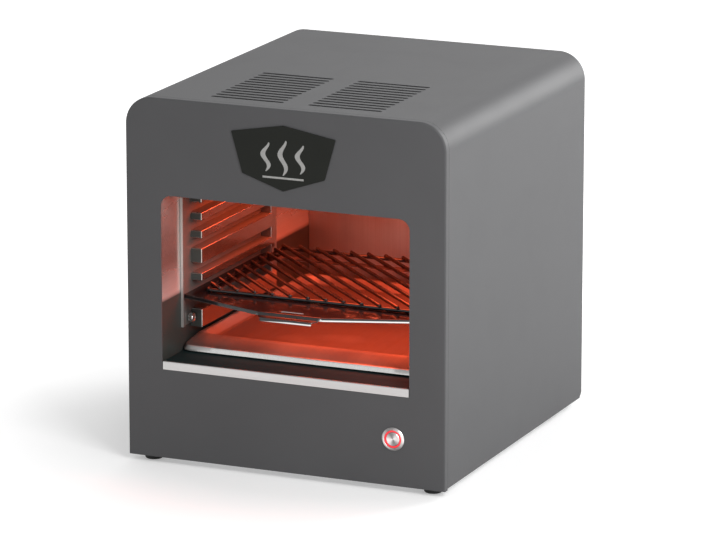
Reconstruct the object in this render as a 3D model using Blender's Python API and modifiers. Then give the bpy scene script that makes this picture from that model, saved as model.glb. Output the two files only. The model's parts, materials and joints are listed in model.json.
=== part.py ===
"""Upright electric grill: an open-fronted steel cabinet with an infrared heater under its roof.

Every size is in metres. The pieces are laid out in cabinet coordinates: across (from the middle, to
the right), depth (back from the face of the front panel) and height (up from the cabinet's lower edge).
"""
import math

import bmesh
import bpy
from mathutils import Matrix, Vector

# Clearances and cutters
GAP = 0.0003
RUNNING_GAP = 0.0010
OVERRUN = 0.0030
WELD_DISTANCE = 0.00001

# How finely round shapes are drawn
ARC_STEPS = 8
SMALL_ARC_STEPS = 4
SLOT_END_STEPS = 3
TURNED_STEPS = 20
SMALL_TURNED_STEPS = 10
HOLE_STEPS = 8
WIRE_RINGS = 2
THIN_WIRE_RINGS = 1

# The cabinet outside
CABINET_WIDTH = 0.390
CABINET_DEPTH = 0.426
BEND_RADIUS = 0.032
COVER_SHEET = 0.0012
COVER_LIFT = 0.0020
COVER_SEAM = 0.0004
COVER_CHAMFER = 0.0060
PANEL_SHEET = 0.0015
PANEL_FLANGE = 0.0090
PANEL_EDGE_ROUND = 0.0020
PANEL_ROUND_STEPS = 3

# The cooking opening in the front panel
SIDE_MARGIN = 0.0430
HEADER_HEIGHT = 0.1115
OPENING_BOTTOM = 0.1044
OPENING_HEIGHT = 0.2031
OPENING_RADIUS = 0.013

# Two groups of vent slots in the top
VENT_SLOT_COUNT = 12
VENT_SLOT_LENGTH = 0.089
VENT_SLOT_WIDTH = 0.0045
VENT_PITCH = 0.01255
VENT_FIRST_DEPTH = 0.034
VENT_MIDDLE = 0.0595

# Badge plate
BADGE_WIDTH = 0.127
BADGE_HEIGHT = 0.0748
BADGE_SHEET = 0.0012
BADGE_ABOVE_OPENING = 0.0185
BADGE_OUTLINE_SHARES = ((0.0, 0.0), (0.79, 0.227), (1.0, 0.853), (0.0, 1.0), (-1.0, 0.853), (-0.79, 0.227))

# Lit push-button
BUTTON_INSET = 0.0621
BUTTON_HEIGHT = 0.0550
BEZEL_RADIUS = 0.0135
BEZEL_FLANGE = 0.0018
BEZEL_CHAMFER = 0.0008
HOUSING_RADIUS = 0.0122
HOUSING_LENGTH = 0.0220
RING_WIDTH = 0.0017
RING_LENGTH = 0.0060
RING_RECESS = 0.0004
PLUNGER_RADIUS = 0.0080
PLUNGER_LENGTH = 0.0050
PLUNGER_RECESS = 0.0002
BUTTON_TRAVEL = 0.0020
NUT_RADIUS = 0.0160
NUT_THICKNESS = 0.0040
CONTACT_RADIUS = 0.0100
CONTACT_LENGTH = 0.0090
CONTACT_TAB_LENGTH = 0.0080
CONTACT_TAB_WIDTH = 0.0028
CONTACT_TAB_SHEET = 0.0008
CONTACT_TAB_SPREAD = 0.0055

# Rear panel
REAR_SHEET = 0.0012
REAR_INSET = 0.0020
REAR_VENT_COUNT = 8
REAR_VENT_LENGTH = 0.090
REAR_VENT_WIDTH = 0.0045
REAR_VENT_PITCH = 0.0110
REAR_VENT_MIDDLE = 0.075
REAR_VENT_BELOW_TOP = 0.119
REAR_SCREW_LOW = 0.0250
REAR_SCREW_BELOW_WALL_TOP = 0.0270

# Snap-in cord gland, empty because the cord isn't part of this model
GLAND_ACROSS = 0.100
GLAND_HEIGHT = 0.036
GLAND_BORE = 0.0040
GLAND_NECK = 0.0067
GLAND_COLLAR_RADIUS = 0.0095
GLAND_COLLAR_TIP = 0.0076
GLAND_COLLAR = 0.0057
GLAND_BARB_RADIUS = 0.0085
GLAND_BARB = 0.0030
GLAND_TAIL = 0.0060

# Base plate and feet
BASE_SHEET = 0.0012
BASE_LIFT = 0.0035
BASE_FLANGE = 0.0125
BASE_VENT_COUNT = 6
BASE_VENT_LENGTH = 0.090
BASE_VENT_WIDTH = 0.0045
BASE_VENT_PITCH = 0.0140
BASE_VENT_MIDDLE = 0.080
BASE_VENT_DEPTH = 0.160
FOOT_RADIUS = 0.0105
FOOT_TAPER = 0.0010
FOOT_HEIGHT = 0.0070
FOOT_RECESS_RADIUS = 0.0045
FOOT_RECESS = 0.0055
FOOT_INSET = 0.0220
FOOT_FRONT_DEPTH = 0.0205
FOOT_REAR_INSET = 0.0740
FOOT_NAMES = ("front_left", "front_right", "rear_left", "rear_right")

# Screws
SCREW_RADIUS = 0.0016
SCREW_HEAD_RADIUS = 0.0034
SCREW_HEAD = 0.0016
SCREW_LENGTH = 0.0070
SCREW_DOME_SHARE = 0.7
SCREW_RIM_SHARE = 0.4
SMALL_SCREW_HEAD_RADIUS = 0.0028
SMALL_SCREW_HEAD = 0.0013

# Cooking chamber
CHAMBER_SHEET = 0.0010
WALL_ABOVE_BOARD = 0.0124
WALL_FLANGE = 0.0120
SILL_HEIGHT = 0.0101
SILL_SIDE_GAP = 0.0008
BACK_SPACE = 0.0138
CEILING_ABOVE_OPENING = 0.0045
CEILING_FLANGE = 0.0080
WINDOW_SIDE_INSET = 0.0340
WINDOW_FRONT = 0.0660
WINDOW_REAR_INSET = 0.0750
CHAMBER_SCREW_INSET = 0.0070
CHAMBER_SCREW_DROP = 0.0337

# Racks
RACK_WIDTH = 0.0147
RACK_FRONT = 0.0760
RACK_LENGTH = 0.2070
RACK_SHEET = 0.0010
RACK_LIFT = 0.0228
RACK_BELOW_CEILING = 0.0169
FIRST_GROOVE_LIFT = 0.0213
GROOVE_PITCH = 0.0210
GROOVE_WIDE_PITCH = 0.0290
GROOVE_OPENING = 0.0120
GROOVE_TOP_MARGIN = 0.0110
LOWER_GROOVE_COUNT = 3
COUNT_BELOW_CARRIER = 1
GROOVE_REAR_WALL = 0.0150
BRACKET_REACH = 0.0260
BRACKET_LIFT = 0.0047
BRACKET_DROP = 0.0011
BRACKET_FLANGE = 0.0032
BRACKET_LIP = 0.0045
TONGUE_LENGTH = 0.0180
TONGUE_LIFT = 0.0627
TONGUE_HEIGHT = 0.0200
STUD_RADIUS = 0.0020
STUD_HEAD_RADIUS = 0.0045
STUD_HEAD = 0.0014
STUD_FROM_END = 0.0090

# Thumbscrews and their nuts
THUMB_TO_RACK = 0.0025
THUMB_LIFT = 0.0127
THUMB_HEAD_RADIUS = 0.0055
THUMB_HEAD = 0.0070
THUMB_CHAMFER = 0.0008
THUMB_SHANK_RADIUS = 0.0020
WELD_NUT_RADIUS = 0.0045
WELD_NUT_LENGTH = 0.0050

# Grate carrier
CARRIER_SHEET = 0.0015
CARRIER_SIDE_GAP = 0.0010
CARRIER_CORNER_DEPTH = 0.0500
CARRIER_NOSE_DEPTH = 0.0130
CARRIER_NOSE_HALF_WIDTH = 0.0420
CARRIER_REAR_CLEARANCE = 0.0040
CARRIER_WINDOW_FRONT = 0.0820
CARRIER_WINDOW_REAR_BAR = 0.0160
CARRIER_WINDOW_CORNER = 0.0130
CARRIER_SIDE_BAR = 0.0250
CARRIER_SKIRT = 0.0030
CARRIER_TRAVEL = 0.200
TAB_HALF_WIDTH = 0.0310
TAB_ROOT_HALF_WIDTH = 0.0390
TAB_FRONT_DEPTH = 0.0015
TAB_STEP = 0.0035
TAB_STEP_LENGTH = 0.0040
TAB_LIP = 0.0030
TAB_SLOT_LENGTH = 0.0300
TAB_SLOT_WIDTH = 0.0070
TAB_SLOT_BEHIND_NOSE = 0.0085

# Grill grate
GRATE_BAR_RADIUS = 0.0022
GRATE_ROD_RADIUS = 0.0022
GRATE_WELD = 0.0008
GRATE_FRONT = 0.0700
GRATE_REAR_OVERHANG = 0.0030
GRATE_SIDE_GAP = 0.0075
GRATE_ROD_PITCH = 0.0220
GRATE_ROD_OVERHANG = 0.0030
GRATE_CORNER = 0.0080
ROD_END_SHARES = (0.55, 1.0, 1.0, 0.55)
GRATE_LIFT = 0.040

# Drip tray
TRAY_SHEET = 0.0008
TRAY_FRONT = 0.0470
TRAY_REAR_GAP = 0.0140
TRAY_HEIGHT = 0.0127
TRAY_FRONT_APRON = 0.0400
TRAY_FRONT_DROP = 0.0055
TRAY_RIM = 0.0055
TRAY_WALL_SLOPE = 0.0060
TRAY_FLOOR_ROUND = 0.0030
TRAY_LIP = 0.0032
TRAY_CORNER = 0.0100
TRAY_BASIN_CORNER = 0.0190
TRAY_TRAVEL = 0.300

# Heater
REFLECTOR_SHEET = 0.0008
REFLECTOR_HEIGHT = 0.0300
REFLECTOR_SLOPE = 0.0100
REFLECTOR_FLANGE = 0.0130
REFLECTOR_CORNER = 0.0120
ELEMENT_RADIUS = 0.00325
ELEMENT_PITCH = 0.0280
ELEMENT_SIDE_GAP = 0.0197
ELEMENT_LIFT = 0.0125
ELEMENT_END_GAP = 0.0260
COLD_END_REACH = 0.0220
ELEMENT_BEND_STEPS = 5
TERMINAL_PIN_RADIUS = 0.0015
TERMINAL_PIN = 0.0080
SUPPORT_DEPTH_SHARES = (0.27, 0.73)
SUPPORT_SHEET = 0.0012
SUPPORT_SIDE_GAP = 0.0035
SUPPORT_BELOW_ELEMENT = 0.0070
SUPPORT_FLANGE = 0.0080
BUSH_RADIUS = 0.0070
BUSH_LENGTH = 0.0260
BUSH_BEFORE_WINDOW_END = 0.0140

# Insulation and heat shield
TOP_BOARD = 0.0160
TOP_BOARD_INSET = 0.0020
SIDE_BOARD = 0.0110
SIDE_BOARD_FRONT = 0.0160
SIDE_BOARD_REAR_GAP = 0.0040
BOARD_EDGE_GAP = 0.0025
SIDE_BOARD_HOLE = 0.0080
BACK_BOARD = 0.0070
BACK_BOARD_INSET = 0.0140
SHIELD_SHEET = 0.0008
SHIELD_SIDE_GAP = 0.0158
SHIELD_FRONT = 0.0120
SHIELD_REAR_GAP = 0.0078
SHIELD_LIP = 0.0060

# Electrical pieces in the space under the chamber
RELAY_ACROSS = 0.0800
RELAY_DEPTH = 0.1000
RELAY_SIZE = (0.028, 0.036, 0.030)
RELAY_EAR = 0.0080
RELAY_EAR_SHEET = 0.0015
BLOCK_ACROSS = 0.0500
BLOCK_REAR_INSET = 0.0790
BLOCK_SIZE = (0.056, 0.020, 0.011)
BLOCK_RIDGE_WIDTH = 0.0100
BLOCK_RIDGE = 0.0070
BLOCK_POLES = 5
BLOCK_BOSS_RADIUS = 0.0036
BLOCK_BOSS = 0.0030
CUTOUT_RADIUS = 0.0080
CUTOUT_HEIGHT = 0.0090
CUTOUT_FLANGE_RADIUS = 0.0115
CUTOUT_FLANGE = 0.0010
LEAD_RADIUS = 0.0015
LEAD_STEPS = 4
LEAD_END_GAP = 0.0010
LEAD_BEND = 0.0120
LEAD_LOOP_HEIGHT = 0.0560
LEAD_RUN_IN = 0.0200
LEAD_DROP = 0.0080
LEAD_ARCH = 0.0280

# Places that follow from the sizes above: the cabinet and its openings
HALF_WIDTH = CABINET_WIDTH / 2
OPENING_TOP = OPENING_BOTTOM + OPENING_HEIGHT
CABINET_HEIGHT = OPENING_TOP + HEADER_HEIGHT
COVER_INSIDE = HALF_WIDTH - COVER_SHEET
COVER_FRONT = PANEL_FLANGE + COVER_SEAM
REAR_FACE = CABINET_DEPTH - REAR_INSET
REAR_PANEL_FRONT = REAR_FACE - REAR_SHEET
REAR_VENT_BOTTOM = CABINET_HEIGHT - REAR_VENT_BELOW_TOP
BASE_HALF_WIDTH = COVER_INSIDE - GAP
BASE_TOP = BASE_LIFT + BASE_SHEET
FOOT_ACROSS = HALF_WIDTH - FOOT_INSET
FOOT_REAR_DEPTH = CABINET_DEPTH - FOOT_REAR_INSET
BUTTON_ACROSS = HALF_WIDTH - BUTTON_INSET

# The chamber
CHAMBER_DEPTH = REAR_PANEL_FRONT - BACK_SPACE
WALL_INSIDE = HALF_WIDTH - SIDE_MARGIN
WALL_OUTSIDE = WALL_INSIDE + CHAMBER_SHEET
WALL_FRONT = PANEL_SHEET + GAP
WALL_REAR = REAR_PANEL_FRONT - GAP
WALL_BOTTOM = BASE_TOP + GAP
SCREW_COLUMN = WALL_INSIDE + WALL_FLANGE / 2
CHAMBER_HALF_WIDTH = WALL_INSIDE - GAP
SILL_TOP = OPENING_BOTTOM + SILL_HEIGHT
SHELF_BOTTOM = SILL_TOP - CHAMBER_SHEET
CEILING_BOTTOM = OPENING_TOP + CEILING_ABOVE_OPENING
CEILING_TOP = CEILING_BOTTOM + CHAMBER_SHEET
CHAMBER_BACK_TOP = CEILING_BOTTOM - GAP
CHAMBER_SCREW_HEIGHT = CHAMBER_BACK_TOP - CHAMBER_SCREW_DROP
WINDOW_HALF_WIDTH = WALL_INSIDE - WINDOW_SIDE_INSET
WINDOW_REAR = CHAMBER_DEPTH - WINDOW_REAR_INSET
TRAY_REAR = CHAMBER_DEPTH - TRAY_REAR_GAP

# The racks and what they carry
RACK_OUTSIDE = CHAMBER_HALF_WIDTH
RACK_INSIDE = RACK_OUTSIDE - RACK_WIDTH
RACK_REAR = RACK_FRONT + RACK_LENGTH
RACK_BOTTOM = SILL_TOP + RACK_LIFT
RACK_TOP = CEILING_BOTTOM - RACK_BELOW_CEILING
GROOVE_BACK = RACK_OUTSIDE - RACK_SHEET
GROOVE_REAR = RACK_REAR - GROOVE_REAR_WALL
STUD_DEPTH = RACK_REAR + TONGUE_LENGTH - STUD_FROM_END
STUD_HEIGHT = RACK_BOTTOM + TONGUE_LIFT + TONGUE_HEIGHT / 2
THUMB_HEIGHT = RACK_BOTTOM + THUMB_LIFT
THUMB_DEPTH = RACK_FRONT - THUMB_HEAD_RADIUS - THUMB_TO_RACK
BRACKET_FRONT = RACK_FRONT - BRACKET_REACH
GRATE_REAR = RACK_REAR + GRATE_REAR_OVERHANG
GRATE_HALF_WIDTH = RACK_INSIDE - GRATE_SIDE_GAP

# The heater, its boards and what stands behind it
REFLECTOR_BOTTOM = CEILING_TOP + GAP
REFLECTOR_TOP = REFLECTOR_BOTTOM + REFLECTOR_HEIGHT
WALL_TOP = REFLECTOR_TOP + GAP + TOP_BOARD + WALL_ABOVE_BOARD
REAR_SCREW_HEIGHTS = (REAR_SCREW_LOW, WALL_TOP - REAR_SCREW_BELOW_WALL_TOP)
ELEMENT_RUNS = 2 * int(((WINDOW_HALF_WIDTH - ELEMENT_SIDE_GAP) / ELEMENT_PITCH * 2 + 1) / 2)
ELEMENT_ACROSS = ELEMENT_PITCH * (ELEMENT_RUNS - 1) / 2
ELEMENT_HEIGHT = REFLECTOR_BOTTOM + ELEMENT_LIFT
ELEMENT_FRONT = WINDOW_FRONT + ELEMENT_END_GAP
ELEMENT_REAR = WINDOW_REAR - ELEMENT_END_GAP
ELEMENT_COLD_END = WINDOW_REAR + COLD_END_REACH
SIDE_BOARD_BOTTOM = SILL_TOP + BOARD_EDGE_GAP
SIDE_BOARD_TOP = OPENING_TOP - BOARD_EDGE_GAP
BLOCK_DEPTH = CHAMBER_DEPTH - BLOCK_REAR_INSET

# Where the front face lies so that the whole part is centred on the origin
FRONT_PROUD = GAP + max(BEZEL_FLANGE, BADGE_SHEET)
REAR_PROUD = max(0.0, GAP + GLAND_COLLAR - REAR_INSET)
FRONT_Y = FRONT_PROUD - (FRONT_PROUD + CABINET_DEPTH + REAR_PROUD) / 2

CABINET_PLACE = Matrix.Translation((0.0, FRONT_Y, FOOT_HEIGHT))

FINISHES = {
    "powder_coat": ((0.115, 0.118, 0.122), 0.42, 0.55),
    "black_plate": ((0.012, 0.013, 0.014), 0.35, 0.30),
    "polished_steel": ((0.62, 0.61, 0.60), 0.16, 1.0),
    "satin_steel": ((0.66, 0.66, 0.65), 0.32, 1.0),
    "black_enamel": ((0.020, 0.019, 0.018), 0.22, 0.35),
    "zinc_plate": ((0.55, 0.56, 0.57), 0.38, 1.0),
    "rubber": ((0.018, 0.018, 0.018), 0.80, 0.0),
    "nylon": ((0.025, 0.025, 0.026), 0.50, 0.0),
    "ceramic": ((0.82, 0.80, 0.76), 0.55, 0.0),
    "fibre_board": ((0.80, 0.78, 0.72), 0.95, 0.0),
    "red_light": ((0.90, 0.05, 0.03), 0.30, 0.0),
    "hot_element": ((0.75, 0.16, 0.05), 0.50, 0.2),
    "silicone_lead": ((0.55, 0.06, 0.04), 0.55, 0.0),
}


def clear_scene():
    for item in list(bpy.data.objects):
        bpy.data.objects.remove(item, do_unlink=True)


def new_collection(name):
    collection = bpy.data.collections.new(name)
    bpy.context.scene.collection.children.link(collection)
    return collection


clear_scene()
PARTS = new_collection("electric_grill")
CUTTERS = new_collection("electric_grill_cutters")


def add_object(name, data, turn=None):
    item = bpy.data.objects.new(name, data)
    PARTS.objects.link(item)
    item.matrix_world = CABINET_PLACE @ (turn if turn else Matrix.Identity(4))
    return item


def finish(item, finish_name):
    colour, roughness, metallic = FINISHES[finish_name]
    material = bpy.data.materials.new(item.name + "_" + finish_name)
    material.use_nodes = True
    shader = material.node_tree.nodes["Principled BSDF"]
    shader.inputs["Base Color"].default_value = (*colour, 1.0)
    shader.inputs["Roughness"].default_value = roughness
    shader.inputs["Metallic"].default_value = metallic
    item.data.materials.clear()
    item.data.materials.append(material)
    return item


def smooth(item, angle=math.radians(35)):
    item.data.shade_smooth()
    item.data.set_sharp_from_angle(angle=angle)
    return item


def make_cutter(item):
    PARTS.objects.unlink(item)
    CUTTERS.objects.link(item)
    item.hide_render = True
    item.display_type = "WIRE"
    return item


def combine(item, other, operation):
    modifier = item.modifiers.new(other.name, "BOOLEAN")
    modifier.operation = operation
    modifier.solver = "EXACT"
    modifier.object = make_cutter(other)
    return item


def cut(item, *others):
    for other in others:
        combine(item, other, "DIFFERENCE")
    return item


def join(item, *others):
    for other in others:
        combine(item, other, "UNION")
    return item


def evaluated_mesh(item):
    graph = bpy.context.evaluated_depsgraph_get()
    graph.update()
    return bpy.data.meshes.new_from_object(item.evaluated_get(graph))


def mesh_object(name, item, place=None):
    """Turn a curve into a mesh object with welded caps; place moves each point into the cabinet."""
    mesh = evaluated_mesh(item)
    solid = bmesh.new()
    solid.from_mesh(mesh)
    bmesh.ops.remove_doubles(solid, verts=solid.verts, dist=WELD_DISTANCE)
    if place:
        for vert in solid.verts:
            vert.co = place(vert.co)
    solid.normal_update()
    bmesh.ops.recalc_face_normals(solid, faces=solid.faces)
    solid.to_mesh(mesh)
    solid.free()
    bpy.data.objects.remove(item, do_unlink=True)
    return add_object(name, mesh)


def block(name, across, depth, height):
    """A box between two values of across, depth and height."""
    bpy.ops.mesh.primitive_cube_add(size=1.0)
    item = bpy.context.active_object
    item.name = name
    for owner in list(item.users_collection):
        owner.objects.unlink(item)
    PARTS.objects.link(item)
    for vert in item.data.vertices:
        spans = zip(vert.co, (across, depth, height))
        vert.co = [max(span) if side > 0 else min(span) for side, span in spans]
    item.matrix_world = CABINET_PLACE
    return item


def extruded(name, outline, axis, span, holes=()):
    """A flat outline with holes, made as thick as its span along one axis.

    The outline is in (depth, height) for X, (across, height) for Y and (across, depth) for Z.
    """
    curve = bpy.data.curves.new(name, "CURVE")
    curve.dimensions = "2D"
    curve.fill_mode = "BOTH"
    curve.extrude = (max(span) - min(span)) / 2
    for loop in (outline, *holes):
        spline = curve.splines.new("POLY")
        spline.points.add(len(loop) - 1)
        for point, place in zip(spline.points, loop):
            point.co = (*place, 0.0, 1.0)
        spline.use_cyclic_u = True

    def place(point):
        spot = [point.x, point.y]
        spot.insert("XYZ".index(axis), max(span) if point.z > 0 else min(span))
        return spot

    return mesh_object(name, add_object(name, curve), place)


def turned(name, profile, centre, direction=(0, 0, 1), steps=TURNED_STEPS):
    """A turned piece: the profile is (radius, along), from the top down its outer side."""
    closed = min(radius for radius, _ in profile) > 0
    count = len(profile)
    edges = [(index, index + 1) for index in range(count - 1)]
    if closed:
        edges.append((count - 1, 0))
    mesh = bpy.data.meshes.new(name)
    mesh.from_pydata([(radius, 0.0, along) for radius, along in profile], edges, [])
    turn = Vector((0, 0, 1)).rotation_difference(Vector(direction)).to_matrix().to_4x4()
    item = add_object(name, mesh, Matrix.Translation(centre) @ turn)
    screw = item.modifiers.new("turn", "SCREW")
    screw.steps = steps
    screw.render_steps = steps
    screw.use_merge_vertices = True
    screw.merge_threshold = WELD_DISTANCE
    weld = item.modifiers.new("weld", "WELD")
    weld.merge_threshold = WELD_DISTANCE
    return item


def wire(name, points, radius, radii=None, cyclic=False, rings=WIRE_RINGS):
    """A round wire along points; radii are shares of the radius at each point."""
    curve = bpy.data.curves.new(name, "CURVE")
    curve.dimensions = "3D"
    curve.bevel_depth = radius
    curve.bevel_resolution = rings
    curve.use_fill_caps = not cyclic
    spline = curve.splines.new("POLY")
    spline.points.add(len(points) - 1)
    for index, place in enumerate(points):
        spline.points[index].co = (*place, 1.0)
        spline.points[index].radius = radii[index] if radii else 1.0
    spline.use_cyclic_u = cyclic
    return smooth(mesh_object(name, add_object(name, curve)))


def sheet(name, rows, thickness, into, closed=False):
    """Sheet metal: a surface through rows of points, thickened towards the point called into.

    Closed rows are rings, and the first ring is filled in, which makes a pan.
    """
    mesh = bpy.data.meshes.new(name)
    shell = bmesh.new()
    grid = [[shell.verts.new(place) for place in row] for row in rows]
    count = len(grid[0])
    for lower, upper in zip(grid, grid[1:]):
        for index in range(count if closed else count - 1):
            after = (index + 1) % count
            shell.faces.new((lower[index], lower[after], upper[after], upper[index]))
    if closed:
        shell.faces.new(grid[0][::-1])
    shell.normal_update()
    widest = max(shell.faces, key=lambda face: face.calc_area())
    if widest.normal.dot(Vector(into) - widest.calc_center_median()) < 0:
        bmesh.ops.reverse_faces(shell, faces=shell.faces)
    shell.to_mesh(mesh)
    shell.free()
    item = add_object(name, mesh)
    solidify = item.modifiers.new("wall", "SOLIDIFY")
    solidify.thickness = thickness
    solidify.offset = 1.0
    solidify.use_even_offset = True
    return item


def channel(name, half_width, base, edge, depth, thickness):
    """A flat sheet with a flange along each side, folded from the base height to the edge height."""
    section = [(-half_width, edge), (-half_width, base), (half_width, base), (half_width, edge)]
    rows = [[(across, place, height) for across, height in section] for place in depth]
    return sheet(name, rows, thickness, (0.0, (depth[0] + depth[1]) / 2, edge))


def group(name, items):
    """Put the evaluated solids of several objects into one object."""
    mesh = bpy.data.meshes.new(name)
    solids = bmesh.new()
    for item in items:
        piece = evaluated_mesh(item)
        piece.transform(CABINET_PLACE.inverted() @ item.matrix_world)
        solids.from_mesh(piece)
        bpy.data.meshes.remove(piece)
        bpy.data.objects.remove(item, do_unlink=True)
    solids.to_mesh(mesh)
    solids.free()
    return add_object(name, mesh)


def arc(centre, radius, start, end, steps):
    """Points on an arc, angles in quarter turns."""
    points = []
    for step in range(steps + 1):
        angle = math.pi / 2 * (start + (end - start) * step / steps)
        points.append((centre[0] + radius * math.cos(angle), centre[1] + radius * math.sin(angle)))
    return points


def arch(half_width, bottom, top, radius, steps=ARC_STEPS):
    """Outline with round upper corners, from the lower right corner over the top to the left."""
    right = arc((half_width - radius, top - radius), radius, 0, 1, steps)
    left = arc((radius - half_width, top - radius), radius, 1, 2, steps)
    return [(half_width, bottom), *right, *left, (-half_width, bottom)]


def capsule(middle, length, width, steps=SLOT_END_STEPS):
    """Outline of a slot with round ends."""
    radius = width / 2
    reach = length / 2 - radius
    right = arc((middle[0] + reach, middle[1]), radius, -1, 1, steps)
    left = arc((middle[0] - reach, middle[1]), radius, 1, 3, steps)
    return right + left


def circle(middle, radius, steps=HOLE_STEPS):
    """Outline of a round hole whose flats lie outside the radius."""
    reach = radius / math.cos(math.pi / steps)
    return arc(middle, reach, 0, 4, steps)[:-1]


def rectangle(left, right, bottom, top):
    return [(left, bottom), (right, bottom), (right, top), (left, top)]


def rounded_rectangle(left, right, bottom, top, radius, steps=SMALL_ARC_STEPS):
    corners = ((right - radius, bottom + radius, -1), (right - radius, top - radius, 0),
               (left + radius, top - radius, 1), (left + radius, bottom + radius, 2))
    points = []
    for across, along, quarter in corners:
        points += arc((across, along), radius, quarter, quarter + 1, steps)
    return points


def slot_rows(middle, first, count, pitch, length, width):
    """Slot outlines in two groups, left and right of the middle."""
    return [capsule((side * middle, first + pitch * index), length, width)
            for side in (-1, 1) for index in range(count)]


def hole_cutters(name, outlines, axis, span):
    """Cutters for holes of the given outlines, running past both faces of a sheet."""
    through = (min(span) - OVERRUN, max(span) + OVERRUN)
    return group(name, [extruded(name + "_cutter", outline, axis, through) for outline in outlines])


def build_front_panel():
    """A pan with a rounded front edge, folded back on all sides towards the cover."""
    rows = []
    for inset, depth in arc((PANEL_EDGE_ROUND, PANEL_EDGE_ROUND), PANEL_EDGE_ROUND, 3, 2, PANEL_ROUND_STEPS):
        ring = arch(HALF_WIDTH - inset, inset, CABINET_HEIGHT - inset, BEND_RADIUS - inset)
        rows.append([(across, depth, height) for across, height in ring])
    rows.append([(across, PANEL_FLANGE, height) for across, _, height in rows[-1]])
    panel = sheet("front_panel", rows, PANEL_SHEET, (0.0, CABINET_DEPTH, CABINET_HEIGHT / 2), closed=True)
    opening = arch(WALL_INSIDE, OPENING_BOTTOM, OPENING_TOP, OPENING_RADIUS)
    hole = circle((BUTTON_ACROSS, BUTTON_HEIGHT), HOUSING_RADIUS + GAP, TURNED_STEPS)
    cut(panel, hole_cutters("panel_holes", [opening, hole], "Y", (0.0, PANEL_SHEET)))
    finish(panel, "powder_coat")


def build_outer_cover():
    section = arch(HALF_WIDTH, COVER_LIFT, CABINET_HEIGHT, BEND_RADIUS)
    rows = [[(across, depth, height) for across, height in section] for depth in (CABINET_DEPTH, COVER_FRONT)]
    cover = sheet("outer_cover", rows, COVER_SHEET, (0.0, CABINET_DEPTH / 2, BASE_LIFT))
    slots = slot_rows(VENT_MIDDLE, VENT_FIRST_DEPTH, VENT_SLOT_COUNT, VENT_PITCH,
                      VENT_SLOT_LENGTH, VENT_SLOT_WIDTH)
    cut(cover, hole_cutters("cover_vent_slots", slots, "Z", (CABINET_HEIGHT - COVER_SHEET, CABINET_HEIGHT)))
    reach = COVER_CHAMFER + OVERRUN
    corner = [(CABINET_DEPTH + OVERRUN, COVER_LIFT - OVERRUN), (CABINET_DEPTH + OVERRUN, COVER_LIFT + reach),
              (CABINET_DEPTH - reach, COVER_LIFT - OVERRUN)]
    cut(cover, extruded("cover_corner", corner, "X", (-HALF_WIDTH - OVERRUN, HALF_WIDTH + OVERRUN)))
    finish(cover, "powder_coat")


def rear_screw_places():
    return [(side * SCREW_COLUMN, height) for side in (-1, 1) for height in REAR_SCREW_HEIGHTS]


def build_rear_panel():
    inset = COVER_SHEET + GAP
    outline = arch(HALF_WIDTH - inset, COVER_LIFT, CABINET_HEIGHT - inset, BEND_RADIUS - inset)
    holes = slot_rows(REAR_VENT_MIDDLE, REAR_VENT_BOTTOM, REAR_VENT_COUNT, REAR_VENT_PITCH,
                      REAR_VENT_LENGTH, REAR_VENT_WIDTH)
    holes += [circle(place, SCREW_RADIUS + GAP) for place in rear_screw_places()]
    holes.append(circle((GLAND_ACROSS, GLAND_HEIGHT), GLAND_NECK + GAP, TURNED_STEPS))
    panel = extruded("rear_panel", outline, "Y", (REAR_PANEL_FRONT, REAR_FACE), holes)
    finish(panel, "powder_coat")


def screw(name, centre, direction, head_radius=SCREW_HEAD_RADIUS, head=SCREW_HEAD, length=SCREW_LENGTH):
    """A pan-head screw: the centre is under its head, which points along the direction."""
    profile = [(0.0, head), (head_radius * SCREW_DOME_SHARE, head), (head_radius, head * SCREW_RIM_SHARE),
               (head_radius, 0.0), (SCREW_RADIUS, 0.0), (SCREW_RADIUS, -length), (0.0, -length)]
    return smooth(turned(name, profile, centre, direction, SMALL_TURNED_STEPS))


def build_screws():
    names = ("lower_left", "upper_left", "lower_right", "upper_right")
    for name, (across, height) in zip(names, rear_screw_places()):
        finish(screw("rear_screw_" + name, (across, REAR_FACE + GAP, height), (0, 1, 0)), "zinc_plate")
    for name, (across, height) in zip(("left", "right"), chamber_screw_places()):
        small = screw("chamber_screw_" + name, (across, CHAMBER_DEPTH - GAP, height), (0, -1, 0),
                      SMALL_SCREW_HEAD_RADIUS, SMALL_SCREW_HEAD)
        finish(small, "satin_steel")
    for name, (across, depth) in zip(FOOT_NAMES, foot_places()):
        finish(screw("foot_screw_" + name, (across, depth, foot_screw_seat()), (0, 0, -1)), "zinc_plate")


def foot_places():
    return [(side * FOOT_ACROSS, depth) for depth in (FOOT_FRONT_DEPTH, FOOT_REAR_DEPTH) for side in (-1, 1)]


def foot_screw_seat():
    return FOOT_RECESS - FOOT_HEIGHT - GAP


def build_feet():
    top = BASE_LIFT - GAP
    bottom = -FOOT_HEIGHT
    hole = SCREW_RADIUS + GAP
    profile = [(FOOT_RADIUS - FOOT_TAPER, top), (FOOT_RADIUS, bottom + FOOT_TAPER),
               (FOOT_RADIUS - FOOT_TAPER, bottom), (FOOT_RECESS_RADIUS, bottom),
               (FOOT_RECESS_RADIUS, bottom + FOOT_RECESS), (hole, bottom + FOOT_RECESS), (hole, top)]
    for name, (across, depth) in zip(FOOT_NAMES, foot_places()):
        foot = smooth(turned("foot_" + name, profile, (across, depth, 0.0)))
        finish(foot, "rubber")


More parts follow.
